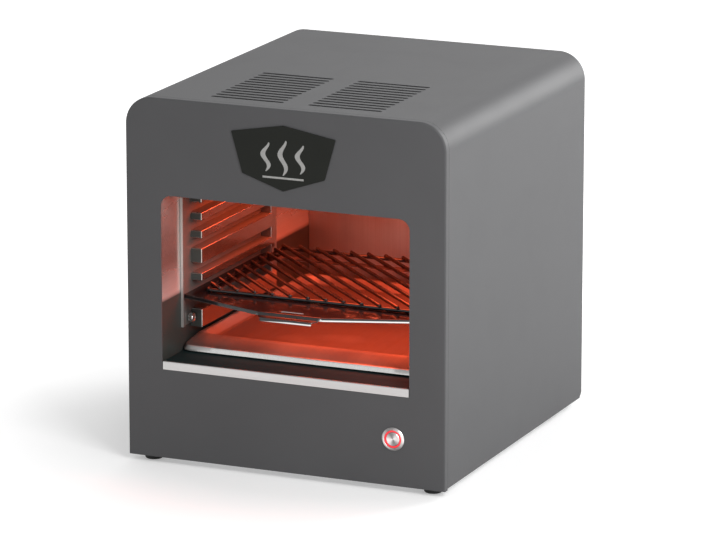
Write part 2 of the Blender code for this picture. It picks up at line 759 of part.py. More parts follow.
def build_base_plate():
    depth = (COVER_FRONT, WALL_REAR)
    plate = channel("base_plate", BASE_HALF_WIDTH, BASE_LIFT, BASE_LIFT + BASE_FLANGE, depth, BASE_SHEET)
    holes = slot_rows(BASE_VENT_MIDDLE, BASE_VENT_DEPTH, BASE_VENT_COUNT, BASE_VENT_PITCH,
                      BASE_VENT_LENGTH, BASE_VENT_WIDTH)
    holes += [circle(place, SCREW_RADIUS + GAP) for place in foot_places()]
    cut(plate, hole_cutters("base_holes", holes, "Z", (BASE_LIFT, BASE_TOP)))
    finish(plate, "zinc_plate")


def build_badge():
    bottom = OPENING_TOP + BADGE_ABOVE_OPENING
    outline = [(across * BADGE_WIDTH / 2, bottom + along * BADGE_HEIGHT)
               for across, along in BADGE_OUTLINE_SHARES]
    badge = extruded("badge_plate", outline, "Y", (-GAP - BADGE_SHEET, -GAP))
    finish(badge, "black_plate")


def build_button():
    centre = (BUTTON_ACROSS, 0.0, BUTTON_HEIGHT)
    forward = (0, -1, 0)
    front = GAP + BEZEL_FLANGE
    bore = PLUNGER_RADIUS + GAP + RING_WIDTH + GAP
    ring_front = front - RING_RECESS
    plunger_front = front - PLUNGER_RECESS
    floor = min(ring_front - RING_LENGTH, plunger_front - PLUNGER_LENGTH - BUTTON_TRAVEL) - GAP
    housing = [(0.0, floor), (bore, floor), (bore, front), (BEZEL_RADIUS - BEZEL_CHAMFER, front),
               (BEZEL_RADIUS, front - BEZEL_CHAMFER), (BEZEL_RADIUS, GAP), (HOUSING_RADIUS, GAP),
               (HOUSING_RADIUS, -HOUSING_LENGTH), (0.0, -HOUSING_LENGTH)]
    finish(smooth(turned("button_housing", housing, centre, forward)), "satin_steel")
    inner = PLUNGER_RADIUS + GAP
    ring = [(inner + RING_WIDTH, ring_front), (inner + RING_WIDTH, floor + GAP), (inner, floor + GAP),
            (inner, ring_front)]
    finish(smooth(turned("button_light_ring", ring, centre, forward)), "red_light")
    plunger = [(0.0, plunger_front), (PLUNGER_RADIUS - BEZEL_CHAMFER, plunger_front),
               (PLUNGER_RADIUS, plunger_front - BEZEL_CHAMFER / 2),
               (PLUNGER_RADIUS, plunger_front - PLUNGER_LENGTH), (0.0, plunger_front - PLUNGER_LENGTH)]
    finish(smooth(turned("button_plunger", plunger, centre, forward)), "satin_steel")
    back = -PANEL_SHEET - GAP
    nut_bore = HOUSING_RADIUS + GAP
    nut_back = back - NUT_THICKNESS
    nut = [(NUT_RADIUS, back), (NUT_RADIUS, nut_back), (nut_bore, nut_back), (nut_bore, back)]
    finish(turned("button_nut", nut, centre, forward), "zinc_plate")
    build_contacts()


def build_contacts():
    start = HOUSING_LENGTH + GAP
    end = start + CONTACT_LENGTH
    profile = [(0.0, -start), (CONTACT_RADIUS, -start), (CONTACT_RADIUS, -end), (0.0, -end)]
    contacts = turned("button_contacts", profile, (BUTTON_ACROSS, 0.0, BUTTON_HEIGHT), (0, -1, 0))
    for side in (-1, 1):
        for row in (-1, 1):
            across = BUTTON_ACROSS + side * CONTACT_TAB_SPREAD
            height = BUTTON_HEIGHT + row * CONTACT_TAB_SPREAD / 2
            tab = block("contact_tab", (across - CONTACT_TAB_SHEET / 2, across + CONTACT_TAB_SHEET / 2),
                        (end - CONTACT_TAB_SHEET, end + CONTACT_TAB_LENGTH),
                        (height - CONTACT_TAB_WIDTH / 2, height + CONTACT_TAB_WIDTH / 2))
            join(contacts, tab)
    finish(contacts, "nylon")


def build_gland():
    face = REAR_FACE + GAP
    centre = (GLAND_ACROSS, 0.0, GLAND_HEIGHT)
    barb = REAR_PANEL_FRONT - GAP
    tail = barb - GLAND_BARB - GLAND_TAIL
    gland = [(GLAND_COLLAR_TIP, face + GLAND_COLLAR), (GLAND_COLLAR_RADIUS, face), (GLAND_NECK, face),
             (GLAND_NECK, barb), (GLAND_BARB_RADIUS, barb), (GLAND_NECK, barb - GLAND_BARB),
             (GLAND_NECK, tail), (GLAND_BORE, tail), (GLAND_BORE, face + GLAND_COLLAR)]
    finish(smooth(turned("cord_gland", gland, centre, (0, 1, 0))), "nylon")


def side_block(name, side, out, depth, height):
    """A box on the left (side -1) or right (side 1), with out measured from the middle."""
    return block(name, (side * out[0], side * out[1]), depth, height)


def pan_rows(place, out, rim, across, along):
    """Two rings of a rectangular pan; place puts (out, across, along) into the cabinet."""
    corners = rectangle(*across, *along)
    return [[place(level, *corner) for corner in corners] for level in (out, rim)]


def build_chamber_wall(name, side):
    """A pan with its flat face to the chamber and its flanges turned out on all four sides."""
    rows = pan_rows(lambda out, depth, height: (side * out, depth, height),
                    WALL_INSIDE, WALL_INSIDE + WALL_FLANGE, (WALL_FRONT, WALL_REAR), (WALL_BOTTOM, WALL_TOP))
    middle = (side * HALF_WIDTH, CABINET_DEPTH / 2, CABINET_HEIGHT / 2)
    wall = sheet(name, rows, CHAMBER_SHEET, middle, closed=True)
    holes = [circle((THUMB_DEPTH, THUMB_HEIGHT), THUMB_SHANK_RADIUS + GAP),
             circle((STUD_DEPTH, STUD_HEIGHT), STUD_RADIUS + GAP)]
    cut(wall, hole_cutters("wall_holes", holes, "X", (side * WALL_INSIDE, side * WALL_OUTSIDE)))
    screws = [circle((side * SCREW_COLUMN, height), SCREW_RADIUS + GAP) for height in REAR_SCREW_HEIGHTS]
    cut(wall, hole_cutters("wall_screw_holes", screws, "Y", (WALL_REAR - CHAMBER_SHEET, WALL_REAR)))
    finish(wall, "polished_steel")


def build_chamber_floor():
    """The drip shelf: a pan turned upside down, whose front edge shows as the sill of the opening."""
    half = WALL_INSIDE - SILL_SIDE_GAP
    rows = pan_rows(lambda out, across, depth: (across, depth, out), SILL_TOP, OPENING_BOTTOM + GAP,
                    (-half, half), (GAP, CHAMBER_DEPTH - GAP))
    floor = sheet("chamber_floor", rows, CHAMBER_SHEET, (0.0, CHAMBER_DEPTH / 2, 0.0), closed=True)
    finish(floor, "satin_steel")


def chamber_screw_places():
    across = CHAMBER_HALF_WIDTH - CHAMBER_SCREW_INSET
    return [(side * across, CHAMBER_SCREW_HEIGHT) for side in (-1, 1)]


def build_chamber_back():
    rows = pan_rows(lambda out, across, height: (across, out, height),
                    CHAMBER_DEPTH, CHAMBER_DEPTH + CEILING_FLANGE,
                    (-CHAMBER_HALF_WIDTH, CHAMBER_HALF_WIDTH), (SILL_TOP + GAP, CHAMBER_BACK_TOP))
    middle = (0.0, CABINET_DEPTH, (SILL_TOP + CHAMBER_BACK_TOP) / 2)
    back = sheet("chamber_back", rows, CHAMBER_SHEET, middle, closed=True)
    holes = [circle(place, SCREW_RADIUS + GAP) for place in chamber_screw_places()]
    cut(back, hole_cutters("back_holes", holes, "Y", (CHAMBER_DEPTH, CHAMBER_DEPTH + CHAMBER_SHEET)))
    finish(back, "polished_steel")


def build_chamber_ceiling():
    ceiling = channel("chamber_ceiling", CHAMBER_HALF_WIDTH, CEILING_BOTTOM, CEILING_TOP + CEILING_FLANGE,
                      (WALL_FRONT, CHAMBER_DEPTH + CEILING_FLANGE), CHAMBER_SHEET)
    window = rounded_rectangle(-WINDOW_HALF_WIDTH, WINDOW_HALF_WIDTH, WINDOW_FRONT, WINDOW_REAR,
                               REFLECTOR_CORNER)
    cut(ceiling, hole_cutters("ceiling_window", [window], "Z", (CEILING_BOTTOM, CEILING_TOP)))
    finish(ceiling, "satin_steel")


def groove_floors():
    """Heights of the groove floors, from the lowest up, with one wider step in the middle."""
    floors = []
    height = RACK_BOTTOM + FIRST_GROOVE_LIFT
    while height + GROOVE_OPENING + GROOVE_TOP_MARGIN < RACK_TOP:
        floors.append(height)
        height += GROOVE_WIDE_PITCH if len(floors) == LOWER_GROOVE_COUNT else GROOVE_PITCH
    return floors


def groove_cutter(side):
    out = (RACK_INSIDE - OVERRUN, GROOVE_BACK)
    depth = (RACK_FRONT - OVERRUN, GROOVE_REAR)
    grooves = [side_block("rack_groove", side, out, depth, (floor, floor + GROOVE_OPENING))
               for floor in groove_floors()]
    return group("rack_grooves", grooves)


def tooth_hollow_cutter(side):
    """The hollows behind the rack's teeth, open towards the chamber wall."""
    bottoms = [RACK_BOTTOM] + [floor + GROOVE_OPENING for floor in groove_floors()]
    tops = groove_floors() + [RACK_TOP]
    out = (RACK_INSIDE + RACK_SHEET, RACK_OUTSIDE + OVERRUN)
    depth = (RACK_FRONT + RACK_SHEET, RACK_REAR - RACK_SHEET)
    hollows = [side_block("rack_hollow", side, out, depth, (low + RACK_SHEET, high - RACK_SHEET))
               for low, high in zip(bottoms, tops)]
    return group("rack_hollows", hollows)


def build_rack(name, side):
    rack = side_block(name, side, (RACK_INSIDE, RACK_OUTSIDE), (RACK_FRONT, RACK_REAR),
                      (RACK_BOTTOM, RACK_TOP))
    cut(rack, groove_cutter(side), tooth_hollow_cutter(side))
    skin = (GROOVE_BACK, RACK_OUTSIDE)
    height = (RACK_BOTTOM + BRACKET_LIFT, RACK_TOP - BRACKET_DROP)
    bracket_depth = (BRACKET_FRONT, RACK_FRONT + RACK_SHEET)
    join(rack, side_block("rack_bracket", side, skin, bracket_depth, height))
    flange = (RACK_OUTSIDE - BRACKET_FLANGE, RACK_OUTSIDE)
    flange_depth = (BRACKET_FRONT, BRACKET_FRONT + RACK_SHEET)
    join(rack, side_block("rack_bracket_flange", side, flange, flange_depth, height))
    lip = (flange[0], flange[0] + RACK_SHEET)
    lip_depth = (BRACKET_FRONT, BRACKET_FRONT + BRACKET_LIP)
    join(rack, side_block("rack_bracket_lip", side, lip, lip_depth, height))
    tongue_depth = (RACK_REAR - RACK_SHEET, RACK_REAR + TONGUE_LENGTH)
    tongue_height = (STUD_HEIGHT - TONGUE_HEIGHT / 2, STUD_HEIGHT + TONGUE_HEIGHT / 2)
    join(rack, side_block("rack_tongue", side, skin, tongue_depth, tongue_height))
    cut(rack, rack_hole_cutter(side))
    finish(rack, "polished_steel")


def rack_hole_cutter(side):
    span = (side * (GROOVE_BACK - OVERRUN), side * (RACK_OUTSIDE + OVERRUN))
    round_hole = circle((THUMB_DEPTH, THUMB_HEIGHT), THUMB_SHANK_RADIUS + GAP)
    screw_hole = extruded("rack_screw_hole", round_hole, "X", span)
    radius = STUD_RADIUS + GAP
    mouth = RACK_REAR + TONGUE_LENGTH + OVERRUN
    slot = arc((STUD_DEPTH, STUD_HEIGHT), radius, 1, 3, HOLE_STEPS)
    slot += [(mouth, STUD_HEIGHT - radius), (mouth, STUD_HEIGHT + radius)]
    return group("rack_holes", [screw_hole, extruded("rack_stud_slot", slot, "X", span)])


def build_rack_fasteners():
    for name, side in (("left", -1), ("right", 1)):
        inner = GROOVE_BACK - GAP
        outer = WALL_OUTSIDE + GAP
        stud = [(0.0, STUD_HEAD), (STUD_HEAD_RADIUS, STUD_HEAD), (STUD_HEAD_RADIUS, 0.0), (STUD_RADIUS, 0.0),
                (STUD_RADIUS, inner - outer), (STUD_HEAD_RADIUS, inner - outer),
                (STUD_HEAD_RADIUS, inner - outer - STUD_HEAD), (0.0, inner - outer - STUD_HEAD)]
        place = (side * inner, STUD_DEPTH, STUD_HEIGHT)
        item = turned("rack_stud_" + name, stud, place, (-side, 0, 0), SMALL_TURNED_STEPS)
        finish(smooth(item), "satin_steel")
        bore = THUMB_SHANK_RADIUS + GAP
        nut = [(WELD_NUT_RADIUS, 0.0), (WELD_NUT_RADIUS, -WELD_NUT_LENGTH), (bore, -WELD_NUT_LENGTH),
               (bore, 0.0)]
        place = (side * outer, THUMB_DEPTH, THUMB_HEIGHT)
        item = turned("rack_nut_" + name, nut, place, (-side, 0, 0), SMALL_TURNED_STEPS)
        finish(smooth(item), "zinc_plate")


def build_thumbscrew(name, side):
    seat = GROOVE_BACK - GAP
    length = seat - WALL_OUTSIDE - WELD_NUT_LENGTH - GAP
    profile = [(0.0, THUMB_HEAD), (THUMB_HEAD_RADIUS - THUMB_CHAMFER, THUMB_HEAD),
               (THUMB_HEAD_RADIUS, THUMB_HEAD - THUMB_CHAMFER), (THUMB_HEAD_RADIUS, 0.0),
               (THUMB_SHANK_RADIUS, 0.0), (THUMB_SHANK_RADIUS, length), (0.0, length)]
    place = (side * seat, THUMB_DEPTH, THUMB_HEIGHT)
    finish(smooth(turned(name, profile, place, (-side, 0, 0))), "satin_steel")


def carrier_level():
    """Height of the carrier's underside, just above the floor of the groove in use."""
    return groove_floors()[COUNT_BELOW_CARRIER] + GAP


def carrier_half_width():
    return RACK_OUTSIDE - BRACKET_FLANGE - CARRIER_SIDE_GAP


def carrier_outline():
    half = carrier_half_width()
    rear = GROOVE_REAR - CARRIER_REAR_CLEARANCE
    return [(half, CARRIER_CORNER_DEPTH), (half, rear), (-half, rear), (-half, CARRIER_CORNER_DEPTH),
            (-CARRIER_NOSE_HALF_WIDTH, CARRIER_NOSE_DEPTH), (CARRIER_NOSE_HALF_WIDTH, CARRIER_NOSE_DEPTH)]


def build_carrier():
    bottom = carrier_level()
    top = bottom + CARRIER_SHEET
    half = carrier_half_width()
    rear = GROOVE_REAR - CARRIER_REAR_CLEARANCE
    side = half - CARRIER_SIDE_BAR
    window = rounded_rectangle(-side, side, CARRIER_WINDOW_FRONT, rear - CARRIER_WINDOW_REAR_BAR,
                               CARRIER_WINDOW_CORNER)
    slot = capsule((0.0, CARRIER_NOSE_DEPTH + TAB_SLOT_BEHIND_NOSE), TAB_SLOT_LENGTH, TAB_SLOT_WIDTH)
    carrier = extruded("grate_carrier", carrier_outline(), "Z", (bottom, top), [window, slot])
    join(carrier, carrier_skirt(bottom), carrier_tab(top))
    finish(carrier, "black_enamel")
    return carrier


def carrier_skirt(bottom):
    """The stiffening edge folded down along the V-shaped front."""
    half = carrier_half_width()
    front = [(-half, CARRIER_CORNER_DEPTH), (-CARRIER_NOSE_HALF_WIDTH, CARRIER_NOSE_DEPTH),
             (CARRIER_NOSE_HALF_WIDTH, CARRIER_NOSE_DEPTH), (half, CARRIER_CORNER_DEPTH)]
    back = [(across, depth + CARRIER_SHEET) for across, depth in reversed(front)]
    return extruded("carrier_skirt", front + back, "Z", (bottom - CARRIER_SKIRT, bottom + CARRIER_SHEET / 2))


def carrier_tab(top):
    """The pull tab: it steps down in front of the nose and ends in a folded lip."""
    root = CARRIER_NOSE_DEPTH + CARRIER_SHEET
    low = top - TAB_STEP
    section = [(root, top), (CARRIER_NOSE_DEPTH, top), (CARRIER_NOSE_DEPTH - TAB_STEP_LENGTH, low),
               (TAB_FRONT_DEPTH, low), (TAB_FRONT_DEPTH, low - CARRIER_SHEET - TAB_LIP),
               (TAB_FRONT_DEPTH + CARRIER_SHEET, low - CARRIER_SHEET - TAB_LIP),
               (TAB_FRONT_DEPTH + CARRIER_SHEET, low - CARRIER_SHEET),
               (CARRIER_NOSE_DEPTH - TAB_STEP_LENGTH + CARRIER_SHEET / 2, low - CARRIER_SHEET),
               (CARRIER_NOSE_DEPTH + CARRIER_SHEET / 2, top - CARRIER_SHEET), (root, top - CARRIER_SHEET)]
    tab = extruded("carrier_tab", section, "X", (-TAB_ROOT_HALF_WIDTH, TAB_ROOT_HALF_WIDTH))
    front = TAB_FRONT_DEPTH - OVERRUN
    rear = CARRIER_NOSE_DEPTH
    outside = TAB_ROOT_HALF_WIDTH + OVERRUN
    slope = (TAB_ROOT_HALF_WIDTH - TAB_HALF_WIDTH) / (rear - TAB_FRONT_DEPTH)
    front_half = TAB_HALF_WIDTH - slope * OVERRUN
    span = (low - CARRIER_SHEET - TAB_LIP - OVERRUN, top + OVERRUN)
    wedges = []
    for side in (-1, 1):
        corner = [(side * front_half, front), (side * outside, front), (side * outside, rear),
                  (side * TAB_ROOT_HALF_WIDTH, rear)]
        wedges.append(extruded("tab_side", corner, "Z", span))
    return cut(tab, group("tab_sides", wedges))


def rod_span(offset, left, right, front, rear):
    """Ends of the diagonal (across falls as depth grows) with across + depth equal to the offset."""
    start_across = min(right, offset - front)
    end_across = max(left, offset - rear)
    return (start_across, offset - start_across), (end_across, offset - end_across)


def build_grate():
    bar_height = carrier_level() + CARRIER_SHEET + GAP + GRATE_BAR_RADIUS
    rod_height = bar_height + GRATE_BAR_RADIUS + GRATE_ROD_RADIUS - GRATE_WELD
    frame = rounded_rectangle(-GRATE_HALF_WIDTH, GRATE_HALF_WIDTH, GRATE_FRONT, GRATE_REAR, GRATE_CORNER)
    grate = wire("grill_grate", [(across, depth, bar_height) for across, depth in frame], GRATE_BAR_RADIUS,
                 cyclic=True)
    join(grate, group("grate_rods", list(grate_rods(rod_height))))
    finish(grate, "black_enamel")
    return grate


def grate_rods(height):
    first = GRATE_FRONT - GRATE_HALF_WIDTH
    last = GRATE_REAR + GRATE_HALF_WIDTH
    count = int((last - first) / GRATE_ROD_PITCH)
    margin = ((last - first) - GRATE_ROD_PITCH * (count - 1)) / 2
    for index in range(count):
        offset = first + margin + GRATE_ROD_PITCH * index
        ends = rod_span(offset, -GRATE_HALF_WIDTH, GRATE_HALF_WIDTH, GRATE_FRONT, GRATE_REAR)
        start, end = (Vector((*place, height)) for place in ends)
        along = (end - start).normalized()
        start -= along * GRATE_ROD_OVERHANG
        end += along * GRATE_ROD_OVERHANG
        tip = along * GRATE_ROD_RADIUS
        yield wire("grate_rod", [start, start + tip, end - tip, end], GRATE_ROD_RADIUS, ROD_END_SHARES,
                   rings=THIN_WIRE_RINGS)


def pan_ring(half, front, rear, radius, knee):
    """A rounded rectangle, clockwise, with one more point on each side at the knee or behind the corner."""
    knee = max(knee, front + radius + WELD_DISTANCE * 10)
    right_rear = arc((half - radius, rear - radius), radius, 0, 1, SMALL_ARC_STEPS)
    left_rear = arc((radius - half, rear - radius), radius, 1, 2, SMALL_ARC_STEPS)
    left_front = arc((radius - half, front + radius), radius, 2, 3, SMALL_ARC_STEPS)
    right_front = arc((half - radius, front + radius), radius, 3, 4, SMALL_ARC_STEPS)
    ring = [*right_rear, *left_rear, (-half, knee), *left_front, *right_front, (half, knee)]
    return ring[::-1]


def build_tray():
    bottom = SILL_TOP + GAP
    rim = bottom + TRAY_HEIGHT - TRAY_SHEET
    outer = WALL_INSIDE - RUNNING_GAP - TRAY_SHEET
    basin = outer - TRAY_RIM
    knee = TRAY_FRONT + TRAY_FRONT_APRON
    basin_rear = TRAY_REAR - TRAY_RIM
    turn = TRAY_FLOOR_ROUND
    slope = TRAY_WALL_SLOPE
    edge = TRAY_SHEET
    rows = [
        (basin - slope - turn, knee + slope + turn, basin_rear - slope - turn, TRAY_BASIN_CORNER - turn,
         bottom),
        (basin - slope, knee + slope, basin_rear - slope, TRAY_BASIN_CORNER - turn / 2, bottom + turn / 2),
        (basin - turn / 2, knee + turn / 2, basin_rear - turn / 2, TRAY_BASIN_CORNER, rim - turn / 2),
        (basin, knee, basin_rear, TRAY_BASIN_CORNER, rim),
        (outer - edge, TRAY_FRONT + edge * 2, TRAY_REAR - edge * 2, TRAY_CORNER - edge, rim),
        (outer, TRAY_FRONT + edge, TRAY_REAR - edge, TRAY_CORNER, rim - edge),
        (outer, TRAY_FRONT + edge, TRAY_REAR - edge, TRAY_CORNER, rim - TRAY_LIP),
    ]
    grid = []
    for half, front, rear, radius, height in rows:
        ring = pan_ring(half, front, rear, radius, knee)
        grid.append([(across, depth, height - tray_drop(depth, knee)) for across, depth in ring])
    tray = sheet("drip_tray", grid, TRAY_SHEET, (0.0, TRAY_REAR / 2, CABINET_HEIGHT), closed=True)
    finish(smooth(tray), "polished_steel")
    return tray


def tray_drop(depth, knee):
    """How far the front apron has come down at this depth."""
    return TRAY_FRONT_DROP * max(0.0, knee - depth) / TRAY_FRONT_APRON


def build_reflector():
    slope = REFLECTOR_SLOPE
    top = REFLECTOR_TOP - REFLECTOR_SHEET
    half, front, rear = WINDOW_HALF_WIDTH, WINDOW_FRONT, WINDOW_REAR
    reach = REFLECTOR_FLANGE
    rows = [
        (half - slope, front + slope, rear - slope, REFLECTOR_CORNER, top),
        (half, front, rear, REFLECTOR_CORNER, REFLECTOR_BOTTOM),
        (half + reach, front - reach, rear + reach, REFLECTOR_CORNER, REFLECTOR_BOTTOM),
    ]
    grid = []
    for half_width, low, high, radius, height in rows:
        ring = pan_ring(half_width, low, high, radius, low)
        grid.append([(across, depth, height) for across, depth in ring])
    above = (0.0, (WINDOW_FRONT + WINDOW_REAR) / 2, CABINET_HEIGHT)
    reflector = sheet("heat_reflector", grid, REFLECTOR_SHEET, above, closed=True)
    finish(reflector, "polished_steel")
    return reflector


def element_points():
    """The heating tube's centre line: straight runs joined by half-round bends."""
    points = [(-ELEMENT_ACROSS, ELEMENT_COLD_END)]
    radius = ELEMENT_PITCH / 2
    for run in range(ELEMENT_RUNS - 1):
        middle = -ELEMENT_ACROSS + ELEMENT_PITCH * (run + 0.5)
        if run % 2 == 0:
            points += arc((middle, ELEMENT_FRONT), radius, 2, 4, ELEMENT_BEND_STEPS)
        else:
            points += arc((middle, ELEMENT_REAR), radius, 2, 0, ELEMENT_BEND_STEPS)
    points.append((ELEMENT_ACROSS, ELEMENT_COLD_END))
    return [(across, depth, ELEMENT_HEIGHT) for across, depth in points]


def build_element():
    element = wire("heating_element", element_points(), ELEMENT_RADIUS)
    for side in (-1, 1):
        pin = wire("terminal_pin", [(side * ELEMENT_ACROSS, ELEMENT_COLD_END - TERMINAL_PIN, ELEMENT_HEIGHT),
                                    (side * ELEMENT_ACROSS, ELEMENT_COLD_END + TERMINAL_PIN, ELEMENT_HEIGHT)],
                   TERMINAL_PIN_RADIUS)
        join(element, pin)
    finish(element, "hot_element")


def build_element_supports():
    """Two folded plates that hang in the reflector, the element's runs passing through their holes."""
    top = REFLECTOR_TOP - REFLECTOR_SHEET - GAP
    bottom = ELEMENT_HEIGHT - SUPPORT_BELOW_ELEMENT
    hole = ELEMENT_RADIUS + GAP
    half = WINDOW_HALF_WIDTH - REFLECTOR_SLOPE - SUPPORT_SIDE_GAP
    for name, share in zip(("front", "rear"), SUPPORT_DEPTH_SHARES):
        depth = ELEMENT_FRONT + (ELEMENT_REAR - ELEMENT_FRONT) * share
        back = depth + SUPPORT_SHEET
        section = [(depth, bottom), (back, bottom), (back, top - SUPPORT_SHEET),
                   (depth + SUPPORT_FLANGE, top - SUPPORT_SHEET), (depth + SUPPORT_FLANGE, top), (depth, top)]
        plate = extruded("element_support_" + name, section, "X", (-half, half))
        holes = [circle((-ELEMENT_ACROSS + ELEMENT_PITCH * run, ELEMENT_HEIGHT), hole)
                 for run in range(ELEMENT_RUNS)]
        cut(plate, hole_cutters("support_holes", holes, "Y", (depth, back)))
        finish(plate, "satin_steel")


def build_bushes(reflector):
    for name, side in (("left", -1), ("right", 1)):
        centre = (side * ELEMENT_ACROSS, WINDOW_REAR - BUSH_BEFORE_WINDOW_END, ELEMENT_HEIGHT)
        bore = ELEMENT_RADIUS + GAP
        profile = [(BUSH_RADIUS, BUSH_LENGTH), (BUSH_RADIUS, 0.0), (bore, 0.0), (bore, BUSH_LENGTH)]
        bush = turned("terminal_bush_" + name, profile, centre, (0, 1, 0))
        finish(smooth(bush), "ceramic")
        hole = BUSH_RADIUS + GAP
        cutter = [(0.0, BUSH_LENGTH), (hole, BUSH_LENGTH), (hole, 0.0), (0.0, 0.0)]
        cut(reflector, turned("reflector_bush_hole", cutter, centre, (0, 1, 0)))


def build_insulation():
    half = WINDOW_HALF_WIDTH - REFLECTOR_SLOPE - TOP_BOARD_INSET
    inset = REFLECTOR_SLOPE + TOP_BOARD_INSET
    bottom = REFLECTOR_TOP + GAP
    top = block("insulation_top", (-half, half), (WINDOW_FRONT + inset, WINDOW_REAR - inset),
                (bottom, bottom + TOP_BOARD))
    finish(top, "fibre_board")
    holes = [circle((THUMB_DEPTH, THUMB_HEIGHT), SIDE_BOARD_HOLE),
             circle((STUD_DEPTH, STUD_HEIGHT), SIDE_BOARD_HOLE)]
    rear = CHAMBER_DEPTH - SIDE_BOARD_REAR_GAP
    outline = rectangle(SIDE_BOARD_FRONT, rear, SIDE_BOARD_BOTTOM, SIDE_BOARD_TOP)
    inner = WALL_OUTSIDE + GAP
    for name, side in (("insulation_left", -1), ("insulation_right", 1)):
        board = extruded(name, outline, "X", (side * inner, side * (inner + SIDE_BOARD)), holes)
        finish(board, "fibre_board")
    inner = CHAMBER_DEPTH + CHAMBER_SHEET + GAP
    half = CHAMBER_HALF_WIDTH - BACK_BOARD_INSET
    back = block("insulation_back", (-half, half), (inner, inner + BACK_BOARD),
                 (SIDE_BOARD_BOTTOM, SIDE_BOARD_TOP))
    finish(back, "fibre_board")


def build_heat_shield():
    top = WALL_TOP + GAP + SHIELD_SHEET
    shield = channel("heat_shield", COVER_INSIDE - SHIELD_SIDE_GAP, top, top - SHIELD_LIP,
                     (SHIELD_FRONT, REAR_PANEL_FRONT - SHIELD_REAR_GAP), SHIELD_SHEET)
    finish(shield, "zinc_plate")


def build_relay():
    width, length, height = RELAY_SIZE
    bottom = BASE_TOP + GAP
    across = (RELAY_ACROSS - width / 2, RELAY_ACROSS + width / 2)
    relay = block("power_relay", across, (RELAY_DEPTH, RELAY_DEPTH + length), (bottom, bottom + height))
    ears = block("relay_ears", across, (RELAY_DEPTH - RELAY_EAR, RELAY_DEPTH + length + RELAY_EAR),
                 (bottom, bottom + RELAY_EAR_SHEET))
    finish(join(relay, ears), "nylon")


def build_terminal_block():
    width, length, height = BLOCK_SIZE
    bottom = BASE_TOP + GAP
    top = bottom + height
    across = (BLOCK_ACROSS - width / 2, BLOCK_ACROSS + width / 2)
    body = block("terminal_block", across, (BLOCK_DEPTH, BLOCK_DEPTH + length), (bottom, top))
    middle = BLOCK_DEPTH + length / 2
    ridge = block("block_ridge", across, (middle - BLOCK_RIDGE_WIDTH / 2, middle + BLOCK_RIDGE_WIDTH / 2),
                  (top - BLOCK_BOSS, top + BLOCK_RIDGE))
    join(body, ridge)
    pitch = width / BLOCK_POLES
    bosses = []
    for pole in range(BLOCK_POLES):
        place = (across[0] + pitch * (pole + 0.5), middle, top + BLOCK_RIDGE)
        profile = [(0.0, BLOCK_BOSS), (BLOCK_BOSS_RADIUS, BLOCK_BOSS), (BLOCK_BOSS_RADIUS, -BLOCK_BOSS),
                   (0.0, -BLOCK_BOSS)]
        bosses.append(turned("block_boss", profile, place, steps=SMALL_TURNED_STEPS))
    join(body, group("block_bosses", bosses))
    finish(body, "nylon")


def build_cutout():
    top = SHELF_BOTTOM - GAP
    rim = top - CUTOUT_FLANGE
    bottom = top - CUTOUT_HEIGHT
    profile = [(0.0, top), (CUTOUT_FLANGE_RADIUS, top), (CUTOUT_FLANGE_RADIUS, rim), (CUTOUT_RADIUS, rim),
               (CUTOUT_RADIUS, bottom), (0.0, bottom)]
    finish(smooth(turned("thermal_cutout", profile, (0.0, CHAMBER_DEPTH / 2, 0.0))), "nylon")


def smooth_route(points, steps):
    """Points on a smooth curve through the given ones."""
    padded = [points[0], *points, points[-1]]
    route = []
    for before, start, end, after in zip(padded, padded[1:], padded[2:], padded[3:]):
        for step in range(steps):
            part = step / steps
            route.append(((start * 2) + (end - before) * part
                          + (before * 2 - start * 5 + end * 4 - after) * part ** 2
                          + (start * 3 - before - end * 3 + after) * part ** 3) / 2)
    route.append(points[-1])
    return route


def lead_wire(name, route):
    """A fixed inner lead; the faces of a bent tube aren't flat, so they are split into triangles."""
    points = smooth_route([Vector(place) for place in route], LEAD_STEPS)
    lead = wire(name, points, LEAD_RADIUS, rings=THIN_WIRE_RINGS)
    lead.modifiers.new("split faces", "TRIANGULATE")
    return lead


def build_leads():
    behind_board = (CHAMBER_DEPTH + CHAMBER_SHEET + GAP + BACK_BOARD + WALL_REAR) / 2
    start_depth = ELEMENT_COLD_END + TERMINAL_PIN + LEAD_END_GAP
    block_rear = BLOCK_DEPTH + BLOCK_SIZE[1] + LEAD_END_GAP
    block_height = BASE_TOP + GAP + BLOCK_SIZE[2] / 2
    pitch = BLOCK_SIZE[0] / BLOCK_POLES
    below_floor = OPENING_BOTTOM - LEAD_BEND
    for name, side, pole in (("heater_lead_left", -1, 1), ("heater_lead_right", 1, 4)):
        across = side * ELEMENT_ACROSS
        end = BLOCK_ACROSS - BLOCK_SIZE[0] / 2 + pitch * (pole - 0.5)
        top = ELEMENT_HEIGHT
        route = [(across, start_depth, top), (across, (start_depth + CHAMBER_DEPTH) / 2, top),
                 (across, CHAMBER_DEPTH + CEILING_FLANGE / 2, top), (across, behind_board, top - LEAD_BEND),
                 (across, behind_board, SIDE_BOARD_TOP), (across, behind_board, SIDE_BOARD_BOTTOM),
                 (across, behind_board, below_floor), (end, CHAMBER_DEPTH, LEAD_LOOP_HEIGHT),
                 (end, block_rear + LEAD_RUN_IN, block_height), (end, block_rear, block_height)]
        finish(lead_wire(name, route), "silicone_lead")
    build_button_lead()


